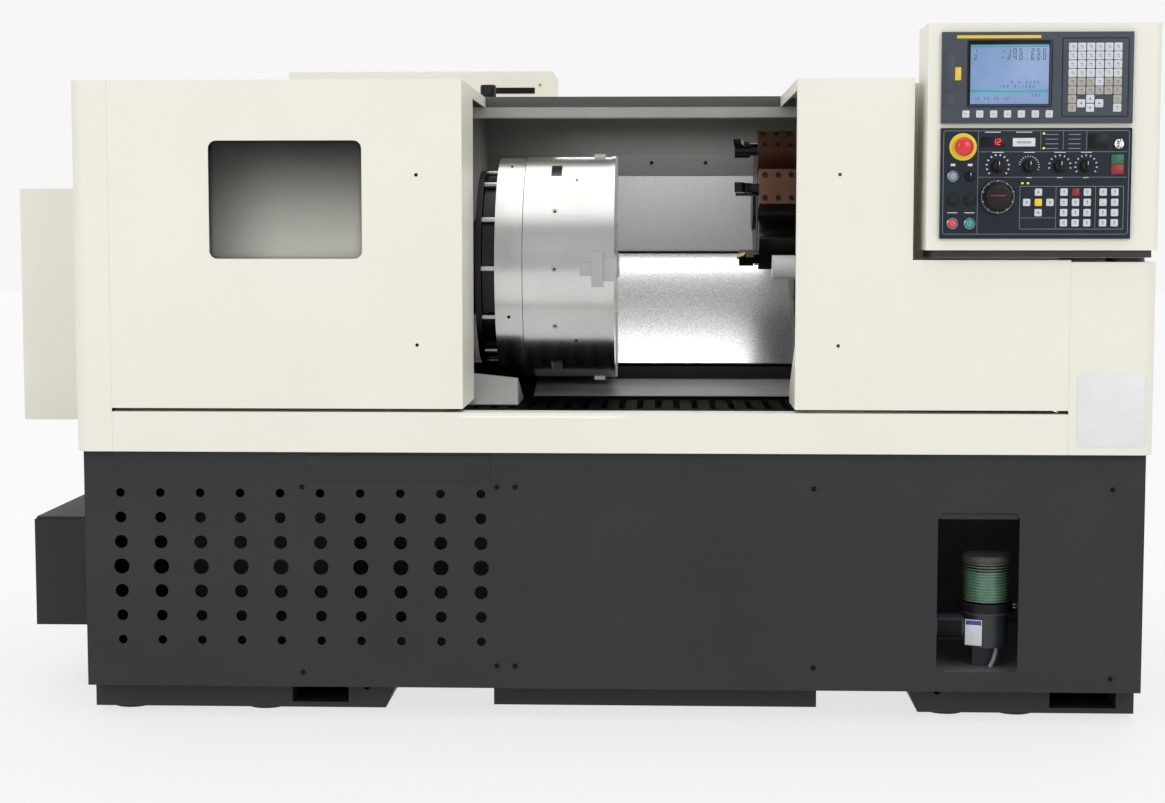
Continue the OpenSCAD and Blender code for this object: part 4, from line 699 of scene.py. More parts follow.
BORDER_OUT = 0.8
STRIP_AT, STRIP = (121, 184.5), (180, 6.4, 0.5, 1.2)
TAB_AT, TAB = (34.5, 106), (13, 28, 1.6, 1.6, 0.4)
LID_X, LID_WIDE, LID_EDGE = 14.4, 25.6, (1.0, 1.2, 0.4)
LIDS = ((109, 84), (49, 27))
lids = [plate(on_display(LID_X, z), LID_WIDE, tall, *LID_EDGE) for z, tall in LIDS]
panel_piece("display_strip", plate(on_display(*STRIP_AT), *STRIP), strip_yellow)
panel_piece("card_tab", plate(on_display(*TAB_AT), *TAB), strip_yellow)
panel_piece("card_lid", joined(*lids), bezel_grey)
# Middle of a border, its width, height, corner radius and breadth
BORDERS = (((328, 98), 141, 167, 3, 2.4), ((145, 106), 180, 141, 4, 3.0))
borders = [border(on_display(*at), *sizes, BORDER_OUT) for at, *sizes in BORDERS]
panel_piece("field_border", joined(*borders), panel_navy)

# %% [markdown]
# ## The operator panel's marks
# Light lines divide the panel into fields. A red figure readout, a bare white plate and two columns of
# small lamps fill its top row, and each turning knob has a ring of ticks. All of it is thin plate set on
# the panel's face. A painted pattern could do this too, but a plate keeps its edge however close the camera
# comes.

# %% Lines between the fields
LINE, THIN_LINE, LINE_OUT = 0.9, 0.8, 0.2
FRAME_LINE = (1.1, 0.25)
# Middle of a line, its width and its height
PANEL_LINES = (
    ((80, 121), LINE, 222), ((240, 187), 318, LINE), ((240, 132.5), 318, LINE), ((214, 211), LINE, 40),
    ((262, 211), LINE, 40), ((312, 211), LINE, 40), ((248.5, 67), THIN_LINE, 90), ((333, 67), THIN_LINE, 90),
    ((210, 45), 76, THIN_LINE),
)
# Middle of a frame, its width, height and corner radius
PANEL_FRAMES = (((204.5, 121), 397, 222, 4), ((282, 67), 222, 92, 2.5))
lines = [border(on_panel(*at), *sizes, *FRAME_LINE) for at, *sizes in PANEL_FRAMES]
lines += [plate(on_panel(*at), w, h, LINE_OUT) for at, w, h in PANEL_LINES]
panel_piece("panel_lines", joined(*lines), line_grey)

# %% Readout, plates and lamps
READOUT, BARE_PLATE = (54, 21, 0.8, 1.2, 0.3), (48, 18, 0.6, 0.8, 0.15)
READOUT_AT, BARE_AT, FIGURES_AT = (111, 208), (178, 207.5), (114, 208)
LAMP_NAME, AMBER, WIDE_LAMP = (26, 1.6, INK, 0.2, 0.04), (5, 4, 0.5, 1.5, 0.15), (26.8, 20.8, 3.4, 1.6, 0.6)
LAMP_X, LAMP_Z = (238, 286), (194, 204, 214, 224)
AMBER_AT = ((220.5, 226), (220.5, 194.5), (176, 119.5), (188, 119.5))
BARE_BAND, DARK_FIELD, DARK_AT = (31, 5, 0.1), (44, 32, 0.3, 1), (337, 209)
WIDE_LAMP_X, GREEN_Z, RED_Z = 378.2, 170.7, 149.2
panel_piece("readout", plate(on_panel(*READOUT_AT), *READOUT), screen_black)
panel_piece("readout_figures", figures("12", on_panel(*FIGURES_AT, READOUT[2]), 10, 12, 1.7), led_red)
panel_piece("bare_plate", plate(on_panel(*BARE_AT), *BARE_PLATE), print_light)
panel_piece("bare_plate_band", plate(on_panel(*BARE_AT, BARE_PLATE[2]), *BARE_BAND), key_tan)
lamp_rows = [on_panel(x, z) for x in LAMP_X for z in LAMP_Z]
panel_piece("lamp_names", copies(plate(np.zeros(3), *LAMP_NAME), lamp_rows), line_grey)
amber = [on_panel(x, z) for x, z in AMBER_AT]
panel_piece("amber_lamps", copies(plate(np.zeros(3), *AMBER), amber), led_amber)
panel_piece("dark_field", plate(on_panel(*DARK_AT), *DARK_FIELD), screen_black)
panel_piece("green_lamp", plate(on_panel(WIDE_LAMP_X, GREEN_Z), *WIDE_LAMP), key_green)
panel_piece("red_lamp", plate(on_panel(WIDE_LAMP_X, RED_Z), *WIDE_LAMP), key_red)

# %% Ticks and names round the knobs
KNOB_Z, KNOB_X = 156.4, (122.7, 189.8, 255.6, 311.7)
BUTTON_X = (26.6, 63.4)
TICK_OUT, TICK_ROUND = 0.18, 0.2


def in_face(a):
    """Matrix that turns a mark in the face's plane by an angle in radians, clockwise from the front."""
    c, s = math.cos(a), math.sin(a)
    return np.array([[c, 0, s], [0, 1, 0], [-s, 0, c]])


def ticks(x, z, r, long, wide, start, end, count):
    """Ticks round a knob: thin plates turned to point at its centre, at even angles."""
    mark = slab(wide * MM, long * MM, TICK_OUT * MM, TICK_ROUND * MM, INK_BEVEL * MM, 2)
    return joined(*[placed(mark, on_panel(x + r * math.sin(a), z + r * math.cos(a)), in_face(a))
                    for a in np.radians(np.linspace(start, end, count))])


# Radius, length, width, first and last angle, count
TICKS = ((24, 4, 2.6, -130, 130, 12), (21, 3, 1.6, -80, 110, 14), (23, 4, 2.2, -100, 100, 9),
         (23, 4, 2.2, -120, 120, 11))
knob_marks = [ticks(x, KNOB_Z, *row) for x, row in zip(KNOB_X, TICKS)]
# Places across, height on the panel, width and height of a name's bar
NAME_BARS = (
    (KNOB_X[1:], KNOB_Z - 24.5, 12, 2.2),
    (KNOB_X, KNOB_Z + 29.5, 24, 1.6),
    (BUTTON_X, 159, 10, 5),
    (BUTTON_X, 56, 22, 1.6),
    ((READOUT_AT[0], BARE_AT[0]), 229, 34, 1.6),
)
knob_marks += [plate(on_panel(x, z), w, h, INK) for across, z, w, h in NAME_BARS for x in across]
panel_piece("knob_ticks", joined(*knob_marks), print_light)

# %% [markdown]
# ## Stop button, knobs and push buttons
# These are turned shapes: a profile of radius against height, swung about the axis of the control. The
# stop's head is a shallow dome on a waist, and sits on a yellow collar. A ribbed grip is the same surface
# with the radius varied by a cosine round the axis: r + d cos(n a). A modifier could spin the profile, but
# it could not add the ribs.

# %% Stop button
STOP_AT = on_panel(47.4, 197.5)
STEM_BACK, STOP_STEM_R = -16, 11
head = [(0, 30), (6, 29.7), (12, 28.6), (16.5, 26.5), (19.2, 23.6), (20, 20.6), (19.4, 17.6), (17.5, 16),
        (12.4, 15.2), (STOP_STEM_R, 14), (STOP_STEM_R, STEM_BACK), (0, STEM_BACK)]
mushroom = piece("stop_head", placed(turned(np.array(head) * MM, 64), STOP_AT, TO_FRONT), stop_red, "estop")
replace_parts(mushroom, "estop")
collar = [(11.6, 0), (11.6, 3.2), (14, 3.9), (27.5, 3.9), (29.2, 3.2), (29.6, 1.5), (29.6, 0), (11.6, 0)]
panel_piece("stop_collar", placed(turned(np.array(collar) * MM, 64), STOP_AT, TO_FRONT), key_yellow)

# %% Knobs that turn
STEM_R, FACE_GAP = 4.3, 0.4
GRIP_HALF, GRIP_OUT, GRIP_ROUND = 3.6, 5.6, 1.6


def ribbed(profile, ribs, depth, steps=240):
    """Turned profile in millimetres: its radius ripples by depth cos(ribs a), times the third column."""
    r, h, fade = np.asarray(profile, float).T * [[MM], [MM], [1]]
    a = np.linspace(0, 2 * np.pi, steps, endpoint=False)
    wide = r[:, None] + depth * MM * fade[:, None] * np.cos(ribs * a)
    points = np.stack(np.broadcast_arrays(wide * np.cos(a), wide * np.sin(a), h[:, None]), -1)
    return points.reshape(-1, 3), [grid_faces(len(r), steps)]


def flat_box(lo, hi, r=0.6):
    """Rounded block from corners in millimetres."""
    return block(np.asarray(lo) * MM, np.asarray(hi) * MM, r * MM)


def knob(name, x, z, r, tall):
    """Selector knob: a ribbed skirt, a raised grip across it and its spindle through the panel."""
    skirt = [(0, STEM_BACK, 0), (STEM_R, STEM_BACK, 0), (STEM_R, FACE_GAP, 0), (r, FACE_GAP, 0), (r, 2, 1),
             (r * 0.94, tall * 0.75, 1), (r * 0.84, tall, 0), (0, tall, 0)]
    top = -tall - GRIP_OUT
    grip = flat_box((-GRIP_HALF, top, -r * 0.8), (GRIP_HALF, 1 - tall, r * 0.8), GRIP_ROUND)
    at = on_panel(x, z)
    body = piece(name + "_grip", joined(placed(ribbed(skirt, 30, 0.25), at, TO_FRONT), placed(grip, at)),
                 knob_black, name)
    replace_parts(body, name)
    mark = plate(at + np.array([0, top, r * 0.42]) * MM, 1.3, r * 0.6, INK, 0.2, INK_BEVEL)
    piece(name + "_mark", mark, print_light, name)


BUTTON_Z, PLUG_Z, LAMP_BUTTON_Z = 134.5, 83.3, 32.8
DIAL_KNOB, SMALL_KNOB = (13.5, 17), (10.5, 8)
for k, x in enumerate(KNOB_X):
    knob(f"selector_{k + 1}", x, KNOB_Z, *DIAL_KNOB)
knob("selector_small", BUTTON_X[1], BUTTON_Z, *SMALL_KNOB)

# %% Handwheel
WHEEL_AT, WHEEL_TOP = on_panel(KNOB_X[0], 90.4), 30.3
DIAL_MARKS, MARK_RIM, MARK_OUT, MARK_THICK, MARK_BEVEL = 100, 36.0, 6.35, 0.25, 0.05
dial = [(0, STEM_BACK, 0), (STEM_R, STEM_BACK, 0), (STEM_R, FACE_GAP, 0), (37.6, FACE_GAP, 0), (38, 1, 0),
        (38, 4.6, 0), (36.4, 6.2, 0), (31, 6.6, 0), (29, 7, 1), (29, 26, 1), (27.4, 28.6, 0.6), (25, 29.8, 0),
        (19, WHEEL_TOP, 0), (0, WHEEL_TOP, 0)]
dial = placed(ribbed(dial, 60, 0.35, 480), WHEEL_AT, TO_FRONT)
wheel = piece("handwheel_dial", dial, knob_black, "handwheel")
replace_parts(wheel, "handwheel")
marks = []
for k in range(DIAL_MARKS):
    wide, tall = (1.4, 4.2) if k % 10 == 0 else (0.5, 2.2)
    a, r = 2 * math.pi * k / DIAL_MARKS, MARK_RIM - tall / 2
    at = WHEEL_AT + np.array([r * math.sin(a), -MARK_OUT, r * math.cos(a)]) * MM
    mark = slab(wide * MM, tall * MM, MARK_THICK * MM, INK * MM, MARK_BEVEL * MM, 2)
    marks.append(placed(mark, at, in_face(a)))
piece("handwheel_marks", joined(*marks), print_light, "handwheel")
slash_at = WHEEL_AT + np.array([-3, -WHEEL_TOP, 2]) * MM
piece("handwheel_slash", plate(slash_at, 34, 2.2, 0.2, 1, 0.05), key_red, "handwheel")

# %% Push buttons and plugs
def button(name, x, z, finish):
    """Push button: a domed lens on its plunger, inside a bright ring fixed to the panel."""
    lens = [(0, 10.4), (4, 10.1), (7, 9.1), (8.6, 7.6), (8.95, 6), (8.95, STEM_BACK), (0, STEM_BACK)]
    ring = [(9.2, 0), (9.2, 4.4), (10.2, 5), (12, 4.2), (13, 1.5), (13, 0), (9.2, 0)]
    lens, ring = (placed(turned(np.array(rows) * MM), on_panel(x, z), TO_FRONT) for rows in (lens, ring))
    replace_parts(piece(name + "_lens", lens, finish, name), name)
    piece(name + "_ring", ring, ring_steel, "pendant")


button("push_grey", BUTTON_X[0], BUTTON_Z, lens_grey)
button("push_red", BUTTON_X[0], LAMP_BUTTON_Z, lens_red)
button("push_green", BUTTON_X[1], LAMP_BUTTON_Z, lens_green)
plug = turned(np.array([(12.4, 0), (12.4, 2.2), (11.2, 3.4), (6, 3.9), (0, 4)]) * MM)
plugs = copies(placed(plug, (0, 0, 0), TO_FRONT), [on_panel(x, PLUG_Z) for x in BUTTON_X])
piece("blanking_plugs", plugs, knob_black, "pendant")

# %% Key switch
KEY_AT = on_panel(380.4, 203.5)
BOW_OUT, BOW_LONG, BOW_TALL, BOW_STEPS = 21, 8, 9.5, 32
BOW_SECTION = np.array([(-2.4, -1.1), (2.4, -1.1), (2.4, 1.1), (-2.4, 1.1)]) * MM
barrel = [(0, 6.6), (3, 6.6), (3.2, 6.2), (9, 6.2), (10, 5.2), (10.2, 0.3), (5, 0.3), (5, STEM_BACK),
          (0, STEM_BACK)]
barrel = placed(turned(np.array(barrel) * MM), KEY_AT, TO_FRONT)
oval = circle(1, BOW_STEPS) * [BOW_LONG, BOW_TALL]
bow_path = np.column_stack([np.zeros(BOW_STEPS), oval[:, 0] - BOW_OUT, oval[:, 1]]) * MM
bow = swept(bow_path, BOW_SECTION, closed=True, up=(1, 0, 0))
blade = flat_box((-1.1, -13.5, -3.6), (1.1, -5, 3.6), 0.5)
key_shape = joined(barrel, placed(bow, KEY_AT), placed(blade, KEY_AT))
switch = piece("key_barrel", key_shape, bright_chrome, "key_switch")
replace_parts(switch, "key_switch")

# %% Dark band round the pendant's foot
BOX_LO, BOX_HI = (np.array(corner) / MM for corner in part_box("pendant_box"))
BAND_IN, BAND_THICK = 13.2, 0.7
BAND_LO = BOX_LO + [BAND_IN, BAND_IN, 0.3]
BAND_HI = [BOX_HI[0] - BAND_IN, BOX_HI[1] - BAND_IN, BOX_LO[2] + 15.8]


def dark_band_side(axis, side):
    """One of four thin plates round the pendant's foot: the foot's box, cut thin along one axis."""
    lo, hi = np.array(BAND_LO), np.array(BAND_HI)
    if side:
        lo[axis] = hi[axis] - BAND_THICK
    else:
        hi[axis] = lo[axis] + BAND_THICK
    return flat_box(lo, hi, 0.2)


# Four thin dark plates make a dark band round the foot of the pendant box.
dark_band_sides = [dark_band_side(axis, side) for axis in (0, 1) for side in (0, 1)]
piece("pendant_dark_band", joined(*dark_band_sides), motor_black, "pendant")

# %% [markdown]
# ## Chuck
# The chuck turns about X. Its studs, socket plugs and small holes repeat round that axis, so each is worked
# out once, pointing along +Z, and turned to its angle with the matrix about X. Each hole is a dark disc of
# painted shade. Drilling the solid would be another way, but at this size the painted shade reads as a hole
# and leaves the solid alone.

# %% Studs and plugs
CHUCK_LO, CHUCK_HI = (np.array(corner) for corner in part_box("chuck_body"))
AXIS = (CHUCK_LO + CHUCK_HI) / 2 * [0, 1, 1]
CHUCK_R = (CHUCK_HI[2] - CHUCK_LO[2]) / 2
STUD_START = float(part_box("chuck_backplate")[0][0]) + 34.5 * MM
STUD_LONG = CHUCK_LO[0] - STUD_START
STUDS, STUD_R, STUD_CIRCLE = 12, 6.6 * MM, 233 * MM
RING_END = CHUCK_LO[0] + 66 * MM
PLUG_X = RING_END + 76.5 * MM
PLUG_TURNS = [k * 30 for k in range(12) if k % 6 not in (1, 5)]
POCKET_TURNS = (30, 150, 210, 330)


def round_axis(shape, x, degrees):
    """Copies of a shape that points along +Z, moved along X and turned about the spindle by each angle."""
    return joined(*[placed(placed(shape, (x, 0, 0)), AXIS, about_x(a)) for a in degrees])


stud = turned([(0, 0), (STUD_R, 0), (STUD_R, STUD_LONG), (0, STUD_LONG)], 20)
stud = placed(stud, (0, 0, STUD_CIRCLE), TO_X)
stud_turns = np.arange(STUDS) * 360 / STUDS
piece("chuck_studs", round_axis(stud, STUD_START, stud_turns), drawn_steel, "spindle")
socket = [(0, -4), (3.3, -4), (3.5, -1.6), (4.2, -1.0), (6.2, -1.0), (6.7, -1.6), (6.7, -5.6), (0, -5.6)]
socket = placed(turned(np.array(socket) * MM), (0, 0, CHUCK_R))
piece("chuck_plugs", round_axis(socket, PLUG_X, PLUG_TURNS), drawn_steel, "spindle")

# %% Small holes, pockets and seam
# Near-black: painted shade in the mouths of holes, slots and vents, and the own black of screw heads and
# plates.
black_and_hole_shade = grained("black_and_hole_shade", (0.006, 0.006, 0.007), 0.6, 0.1, 400, 0.00002, 40, gloss=0.15)
QUARTERS = 90 * np.arange(4)
SPOT_LIFT, SPOT_SUNK = 0.25, -0.5


def spot(r):
    """Small dark disc, the painted shade in the mouth of a drilled hole, standing just clear of the surface.
    """
    return turned(np.array([(0, SPOT_LIFT), (r, SPOT_LIFT), (r, SPOT_SUNK), (0, SPOT_SUNK)]) * MM, 24)


# Radius, depth of the seat under the rim, place along the chuck, angles
HOLES = (
    (3.4, 0, CHUCK_LO[0] + 192.5 * MM, 39 + QUARTERS),
    (4.2, 2, CHUCK_LO[0] + 32.5 * MM, 115 + QUARTERS),
    (2.6, 0, PLUG_X, PLUG_TURNS),
)
holes = [round_axis(placed(spot(r), (0, 0, CHUCK_R - deep * MM)), x, turns) for r, deep, x, turns in HOLES]
piece("chuck_holes", joined(*holes), black_and_hole_shade, "spindle")
pocket = placed(flat_box((-12.4, -25.4, -11.8), (12.4, 25.4, -10.6), 0.4), (0, 0, CHUCK_R))
piece("pocket_floors", round_axis(pocket, PLUG_X, POCKET_TURNS), black_oxide, "spindle")
rim, floor_r = CHUCK_R / MM + 0.3, CHUCK_R / MM - 0.8
groove = [(floor_r, -0.8), (rim, -0.7), (rim, 0.7), (floor_r, 0.8), (floor_r, -0.8)]
groove = turned(np.array(groove) * MM, 180)
piece("ring_seam", placed(groove, AXIS + [RING_END, 0, 0], TO_X), pump_grey, "spindle")

# %% [markdown]
# ## Turret
# Holders sit on the flats of the disc. Each is drawn in its own station's frame, with Z out from the
# turret's axis, and then turned. The working holder is blackened, and its tool carries a gilt insert. The
# two others have clamp screws, and a head on the end of the bar that each of them holds. Working in the
# station's frame keeps every corner square until the last step.

# %% Holders
HOLD_LO, HOLD_HI = (np.array(corner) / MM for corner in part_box("tool_holders"))
REACH, SLANT, STATION = 300 * MM, 30.0, 45
TURRET = AXIS + REACH * np.array([0, math.cos(math.radians(SLANT)), math.sin(math.radians(SLANT))])
FLAT_R = 140
WORKING, BAR_STATIONS = 2, (0, 1)
CASE_OVER, CASE_ROUND, CASE_HALF = 0.6, 1.5, 45.6


def at_station(shape, index):
    """Turn a shape from its station's frame into place: whole stations, on top of the bed's slant."""
    return placed(shape, TURRET, about_x(SLANT + STATION * index))


def holder_part(y0, y1, z0, z1):
    """Rounded block over part of the working holder, in millimetres across and out from the flat."""
    lo, hi = (HOLD_LO[0] - CASE_OVER, y0, FLAT_R + z0), (HOLD_HI[0] + CASE_OVER, y1, FLAT_R + z1)
    return at_station(flat_box(lo, hi, CASE_ROUND), WORKING)


blackened = joined(holder_part(-CASE_HALF, CASE_HALF, 1, 74.4), holder_part(0.6, CASE_HALF, 70, 95.6),
                   holder_part(-CASE_HALF, -25.6, 70, 95.6))
piece("working_holder", blackened, black_oxide, "turret")
screw = [(0, 0.5), (3.6, 0.5), (3.9, 2.2), (6.6, 2.4), (7.2, 1.6), (7.2, -1), (0, -1)]
screw = turned(np.array(screw) * MM, 30)
MID_X = (HOLD_LO[0] + HOLD_HI[0]) / 2
SCREW_X, SCREW_Y, SCREW_OUT = (-33, 0, 33), (-30, 30), FLAT_R + 60
screws = [at_station(placed(screw, np.array([MID_X + x, y, SCREW_OUT]) * MM), k)
          for k in BAR_STATIONS for x in SCREW_X for y in SCREW_Y]
piece("holder_screws", joined(*screws), black_oxide, "turret")

# %% Bar heads and insert
BAR_R, BAR_OUT = 16, FLAT_R + 30
BAR_END = float(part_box("cutting_tools")[0][0]) / MM
INSERT_AT, INSERT_Y = np.array([BAR_END + 2, FLAT_R + 120]), (5.4, 2.9)
gilt = ground_steel("gilt", (0.75, 0.5, 0.13), 0.3, (300, 300, 300), 0.00002, 0.08)
nose = np.array([(0, -BAR_R - 0.6), (34, -BAR_R - 0.6), (40, -BAR_R + 2), (40, BAR_R - 2), (32, BAR_R + 0.6),
                 (24, BAR_R + 0.6), (15, BAR_R + 8), (-4, BAR_R + 8), (-1, BAR_R)])
nose = prism(nose + [BAR_END, BAR_OUT], -BAR_R * 0.8, BAR_R * 0.8)
piece("bar_heads", joined(*[at_station(nose, k) for k in BAR_STATIONS]), tool_steel, "turret")
diamond = np.array([(-0.3, 0.4), (16.2, -5.8), (22.4, -22.4), (5.8, -16.2)])
piece("gilt_insert", at_station(prism(diamond + INSERT_AT, *INSERT_Y), WORKING), gilt, "turret")

# %% [markdown]
# ## Walls of the work space
# The back wall carries a strip with a row of screws and, under it, the brushed upper cover that the way
# cover runs out of. A grey ledge leads chips into the black tray, with a dark riser behind it that paints
# the shade of the recess under the way cover. Two pale plates of the guard's grey paint the light on the
# lower part of the headstock guard, and the slanted top of the front one follows the edge of the shadow
# above it. The header's upper band is a dark plate of painted shade under the roof. A sheet is a block with
# a small radius rather than a plane, because a round edge catches the light as folded metal does.

# %% Strip and cover on the back wall
TRAY_LO, TRAY_HI = (np.array(corner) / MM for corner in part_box("chip_tray"))
WALL_Y = float(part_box("splash_walls")[1][1]) / MM - 3
WALL_X = (TRAY_LO[0] + 3.5, 560)
STRIP_Z, STRIP_OUT = (1254, 1312), 2.1
COVER_Z, COVER_OUT = (1046, 1253.4), 2.9
WALL_SCREW_X, WALL_SCREW_Z = 56 + 150 * np.arange(4), 1290.4
wall_strip = grained("wall_strip", (0.165, 0.165, 0.157), 0.45, 0.05, 500, 0.0001, 5)
brushed_cover = speckled("brushed_cover", (0.55, 0.55, 0.545), 0.45, 230, 0.08, 0.1)


def wall_plate(z, out):
    """Plate on the back wall between two heights, standing out from it and sunk in it by a hair."""
    return flat_box((WALL_X[0], WALL_Y - out, z[0]), (WALL_X[1], WALL_Y + 0.3, z[1]))


def screw_head(r):
    """Button head with a socket, pointing along +Z; r in millimetres."""
    rows = [(0, 0.25), (0.42, 0.25), (0.45, 0.62), (0.72, 0.66), (0.92, 0.45), (1, 0.1), (1, -0.1), (0, -0.1)]
    return turned(np.array(rows) * r * MM, 24)


def front_screws(r, y, places):
    """Screw heads facing the front at places (x, z) of an upright face, in millimetres."""
    return copies(placed(screw_head(r), (0, 0, 0), TO_FRONT), np.array([(x, y, z) for x, z in places]) * MM)


piece("wall_light_strip", wall_plate(STRIP_Z, STRIP_OUT), wall_strip, "machine")
piece("upper_cover", wall_plate(COVER_Z, COVER_OUT), brushed_cover, "machine")
wall_screws = front_screws(5, WALL_Y - STRIP_OUT, [(x, WALL_SCREW_Z) for x in WALL_SCREW_X])
piece("wall_screws", wall_screws, black_and_hole_shade, "machine")

# %% Ledge, guard foot and header band
LEDGE_X, LEDGE_AT = (TRAY_LO[0] + 167.5, TRAY_HI[0] - 3.5), (0, -219.5, 692)
LEDGE_RUN, LEDGE_RISE = 180, 30
RISER_Y, RISER_Z = TRAY_HI[1] - 2.9, 724
FOOT_LEFT, FOOT_RIGHT, FOOT_LOW, FOOT_TOP, FOOT_LEFT_TOP = -251, -110.4, 687, 751, 766
FOOT_Y, FOOT_BACK, FOOT_SHEET = -420.6, -232, 0.8
QUARTER = np.array([[0, -1, 0], [1, 0, 0], [0, 0, 1]], float)
ledge_grey = grained("ledge_grey", (0.31, 0.31, 0.3), 0.45, 0.06, 500, 0.0001, 6)
riser_painted_shade = grained("riser_painted_shade", (0.018, 0.0183, 0.0188), 0.5, 0.08, 500, 0.0001, 6, gloss=0.2)
guard_grey_in_light = grained("guard_grey_in_light", (0.4, 0.4, 0.385), 0.45, 0.05, 500, 0.0001, 6)
header_painted_shade = grained("header_painted_shade", (0.07, 0.07, 0.067), 0.5, 0.05, 500, 0.0001, 6)
ledge = flat_box((LEDGE_X[0], 0, 0.4), (LEDGE_X[1], LEDGE_RUN + 2, 1.6), 0.5)
ledge = placed(ledge, np.array(LEDGE_AT) * MM, about_x(math.degrees(math.atan2(LEDGE_RISE, LEDGE_RUN))))
piece("chip_ledge", ledge, ledge_grey, "machine")
# The riser's near-black is painted shade in the recess under the way cover's lower edge.
riser = flat_box((LEDGE_X[0], RISER_Y - 0.9, RISER_Z), (LEDGE_X[1], RISER_Y, TRAY_HI[2] - 0.4), 0.3)
piece("ledge_riser", riser, riser_painted_shade, "machine")
# The pale plates paint the light on the guard's lower part. Their top follows the shadow's edge, and above it
# the guard keeps the darker wall grey.
front = [(FOOT_LEFT, FOOT_LOW), (FOOT_RIGHT, FOOT_LOW), (FOOT_RIGHT, FOOT_TOP), (FOOT_LEFT, FOOT_LEFT_TOP)]
side = [(FOOT_Y + 0.2, FOOT_LOW), (FOOT_BACK, FOOT_LOW), (FOOT_BACK, FOOT_LOW + 4.4),
        (FOOT_Y + 0.2, FOOT_TOP + 0.2)]
piece("guard_foot_front", prism(front, FOOT_Y - FOOT_SHEET, FOOT_Y), guard_grey_in_light, "machine")
foot_side = placed(prism(side, -FOOT_SHEET, 0), ((FOOT_RIGHT + 0.7) * MM, 0, 0), QUARTER)
piece("guard_foot_side", foot_side, guard_grey_in_light, "machine")
HEAD_LO, HEAD_HI = (np.array(corner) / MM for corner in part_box("header_rail"))
# The header's upper band is a dark plate of painted shade, where the roof shades it.
band = flat_box(HEAD_LO + [2, -0.8, 26], (HEAD_HI[0] - 2, HEAD_LO[1] + 0.2, HEAD_HI[2] + 5), 0.3)
piece("header_shade_band", band, header_painted_shade, "machine")

# %% [markdown]
# ## Window of the left door
# Behind the pane hangs a dull sheet with painted shade. The frame's shadow on its top and left is painted
# into its grey, the product of two smooth steps, one along Z and one along X, both read from Object
# coordinates in metres. Lamps behind the pane could shade it too, but they would also light the door.

# %% Shaded sheet
SHADE, LEFT_SHADE, TOP_SHADE, SHADE_REACH = (0.004, 0.004, 0.004), 0.3, 0.02, 0.5
SHEET_FRONT, SHEET_BACK, SHEET_ROUND = 9 * MM, 5 * MM, 0.8 * MM


def shaded(name, lo, hi, colour):
    """Painted shade: grey rising from the top down and from the left in, step(z) times step(x) times the
    colour.
    """
    mat, tree, shader = new_finish(name)
    coords, split = tree.nodes.new("ShaderNodeTexCoord"), tree.nodes.new("ShaderNodeSeparateXYZ")
    across = ranged(tree, LEFT_SHADE, 1.0, lo[0], lo[0] + SHADE_REACH * (hi[0] - lo[0]))
    down = ranged(tree, TOP_SHADE, 1.0, hi[2], lo[2])
    across.interpolation_type = down.interpolation_type = "SMOOTHSTEP"
    product = tree.nodes.new("ShaderNodeMath")
    product.operation = "MULTIPLY"
    tint = ramp(tree, SHADE, colour, 0.0, 1.0)
    links(tree, ((coords, "Object"), (split, "Vector")), ((split, "X"), (across, "Value")),
          ((split, "Z"), (down, "Value")), ((across, "Result"), (product, 0)),
          ((down, "Result"), (product, 1)), ((product, "Value"), (tint, "Fac")),
          ((tint, "Color"), (shader, "Base Color")))
    shader.inputs["Roughness"].default_value = 0.6
    shader.inputs["Specular IOR Level"].default_value = 0.2
    bumped(tree, shader, noise(tree, 600), 0.00005)
    return mat


PANE_LO, PANE_HI = (np.array(corner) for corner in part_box("door_window"))
# The sheet's grey is painted shade from the frame, darkest at its top and left.
window_painted_shade = shaded("window_painted_shade", PANE_LO, PANE_HI, (0.5, 0.49, 0.455))
sheet = block(PANE_LO + [0, SHEET_FRONT, 0], PANE_HI + [0, SHEET_BACK, 0], SHEET_ROUND)
piece("window_sheet", sheet, window_painted_shade, "left_door")

# %% [markdown]
# ## Lubrication unit
# A clear ribbed reservoir stands on a black collar, with green oil inside. Below it are the upright pump
# with a bare white plate, its motor lying to the left with a bare dark one, a brass outlet and a short bent
# pipe. Nearly all of it is round, so most pieces are turned profiles, and the ribs are one bead copied up
# the wall.

# %% Reservoir
RES_LO, RES_HI = (np.array(corner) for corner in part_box("lube_reservoir"))
LUBE = (RES_LO + RES_HI) / 2 * [1, 1, 0]
RES_Z, CAP_Z = RES_LO[2], RES_HI[2] - 14 * MM
BEADS, BEAD_START, BEAD_STEP = 14, 5, 6.6
oil_green = grained("oil_green", (0.1, 0.24, 0.17), 0.2, 0.2, 200, 0.00002, 30, coat=0.4)
ring_tint = grained("ring_tint", (0.2, 0.3, 0.2), 0.3, 0.15, 200, 0.00002, 30, coat=0.3)
cap_brown = grained("cap_brown", (0.06, 0.055, 0.055), 0.5, 0.1, 500, 0.0001, 25)
oil = np.array([(0, 3.4), (47.5, 3.4), (47.5, 72), (46.5, 73), (0, 73)]) * MM
piece("oil", placed(turned(oil, 64), LUBE + [0, 0, RES_Z]), oil_green, "machine")
bead = np.array([(50.6, -0.9), (51.7, -0.6), (51.9, 0), (51.7, 0.6), (50.6, 0.9), (50.6, -0.9)]) * MM
bead_places = [LUBE + [0, 0, RES_Z + (BEAD_START + BEAD_STEP * k) * MM] for k in range(BEADS)]
piece("reservoir_rings", copies(turned(bead, 64), bead_places), ring_tint, "machine")
cap = [(0, -0.4, 0), (54.2, -0.4, 0), (54.4, 1, 1), (54.4, 11, 1), (53.6, 13.4, 0.5), (51, 14.6, 0),
       (0, 14.8, 0)]
cap = placed(ribbed(cap, 48, 0.4, 384), LUBE + [0, 0, CAP_Z])
piece("reservoir_cap", cap, cap_brown, "machine")
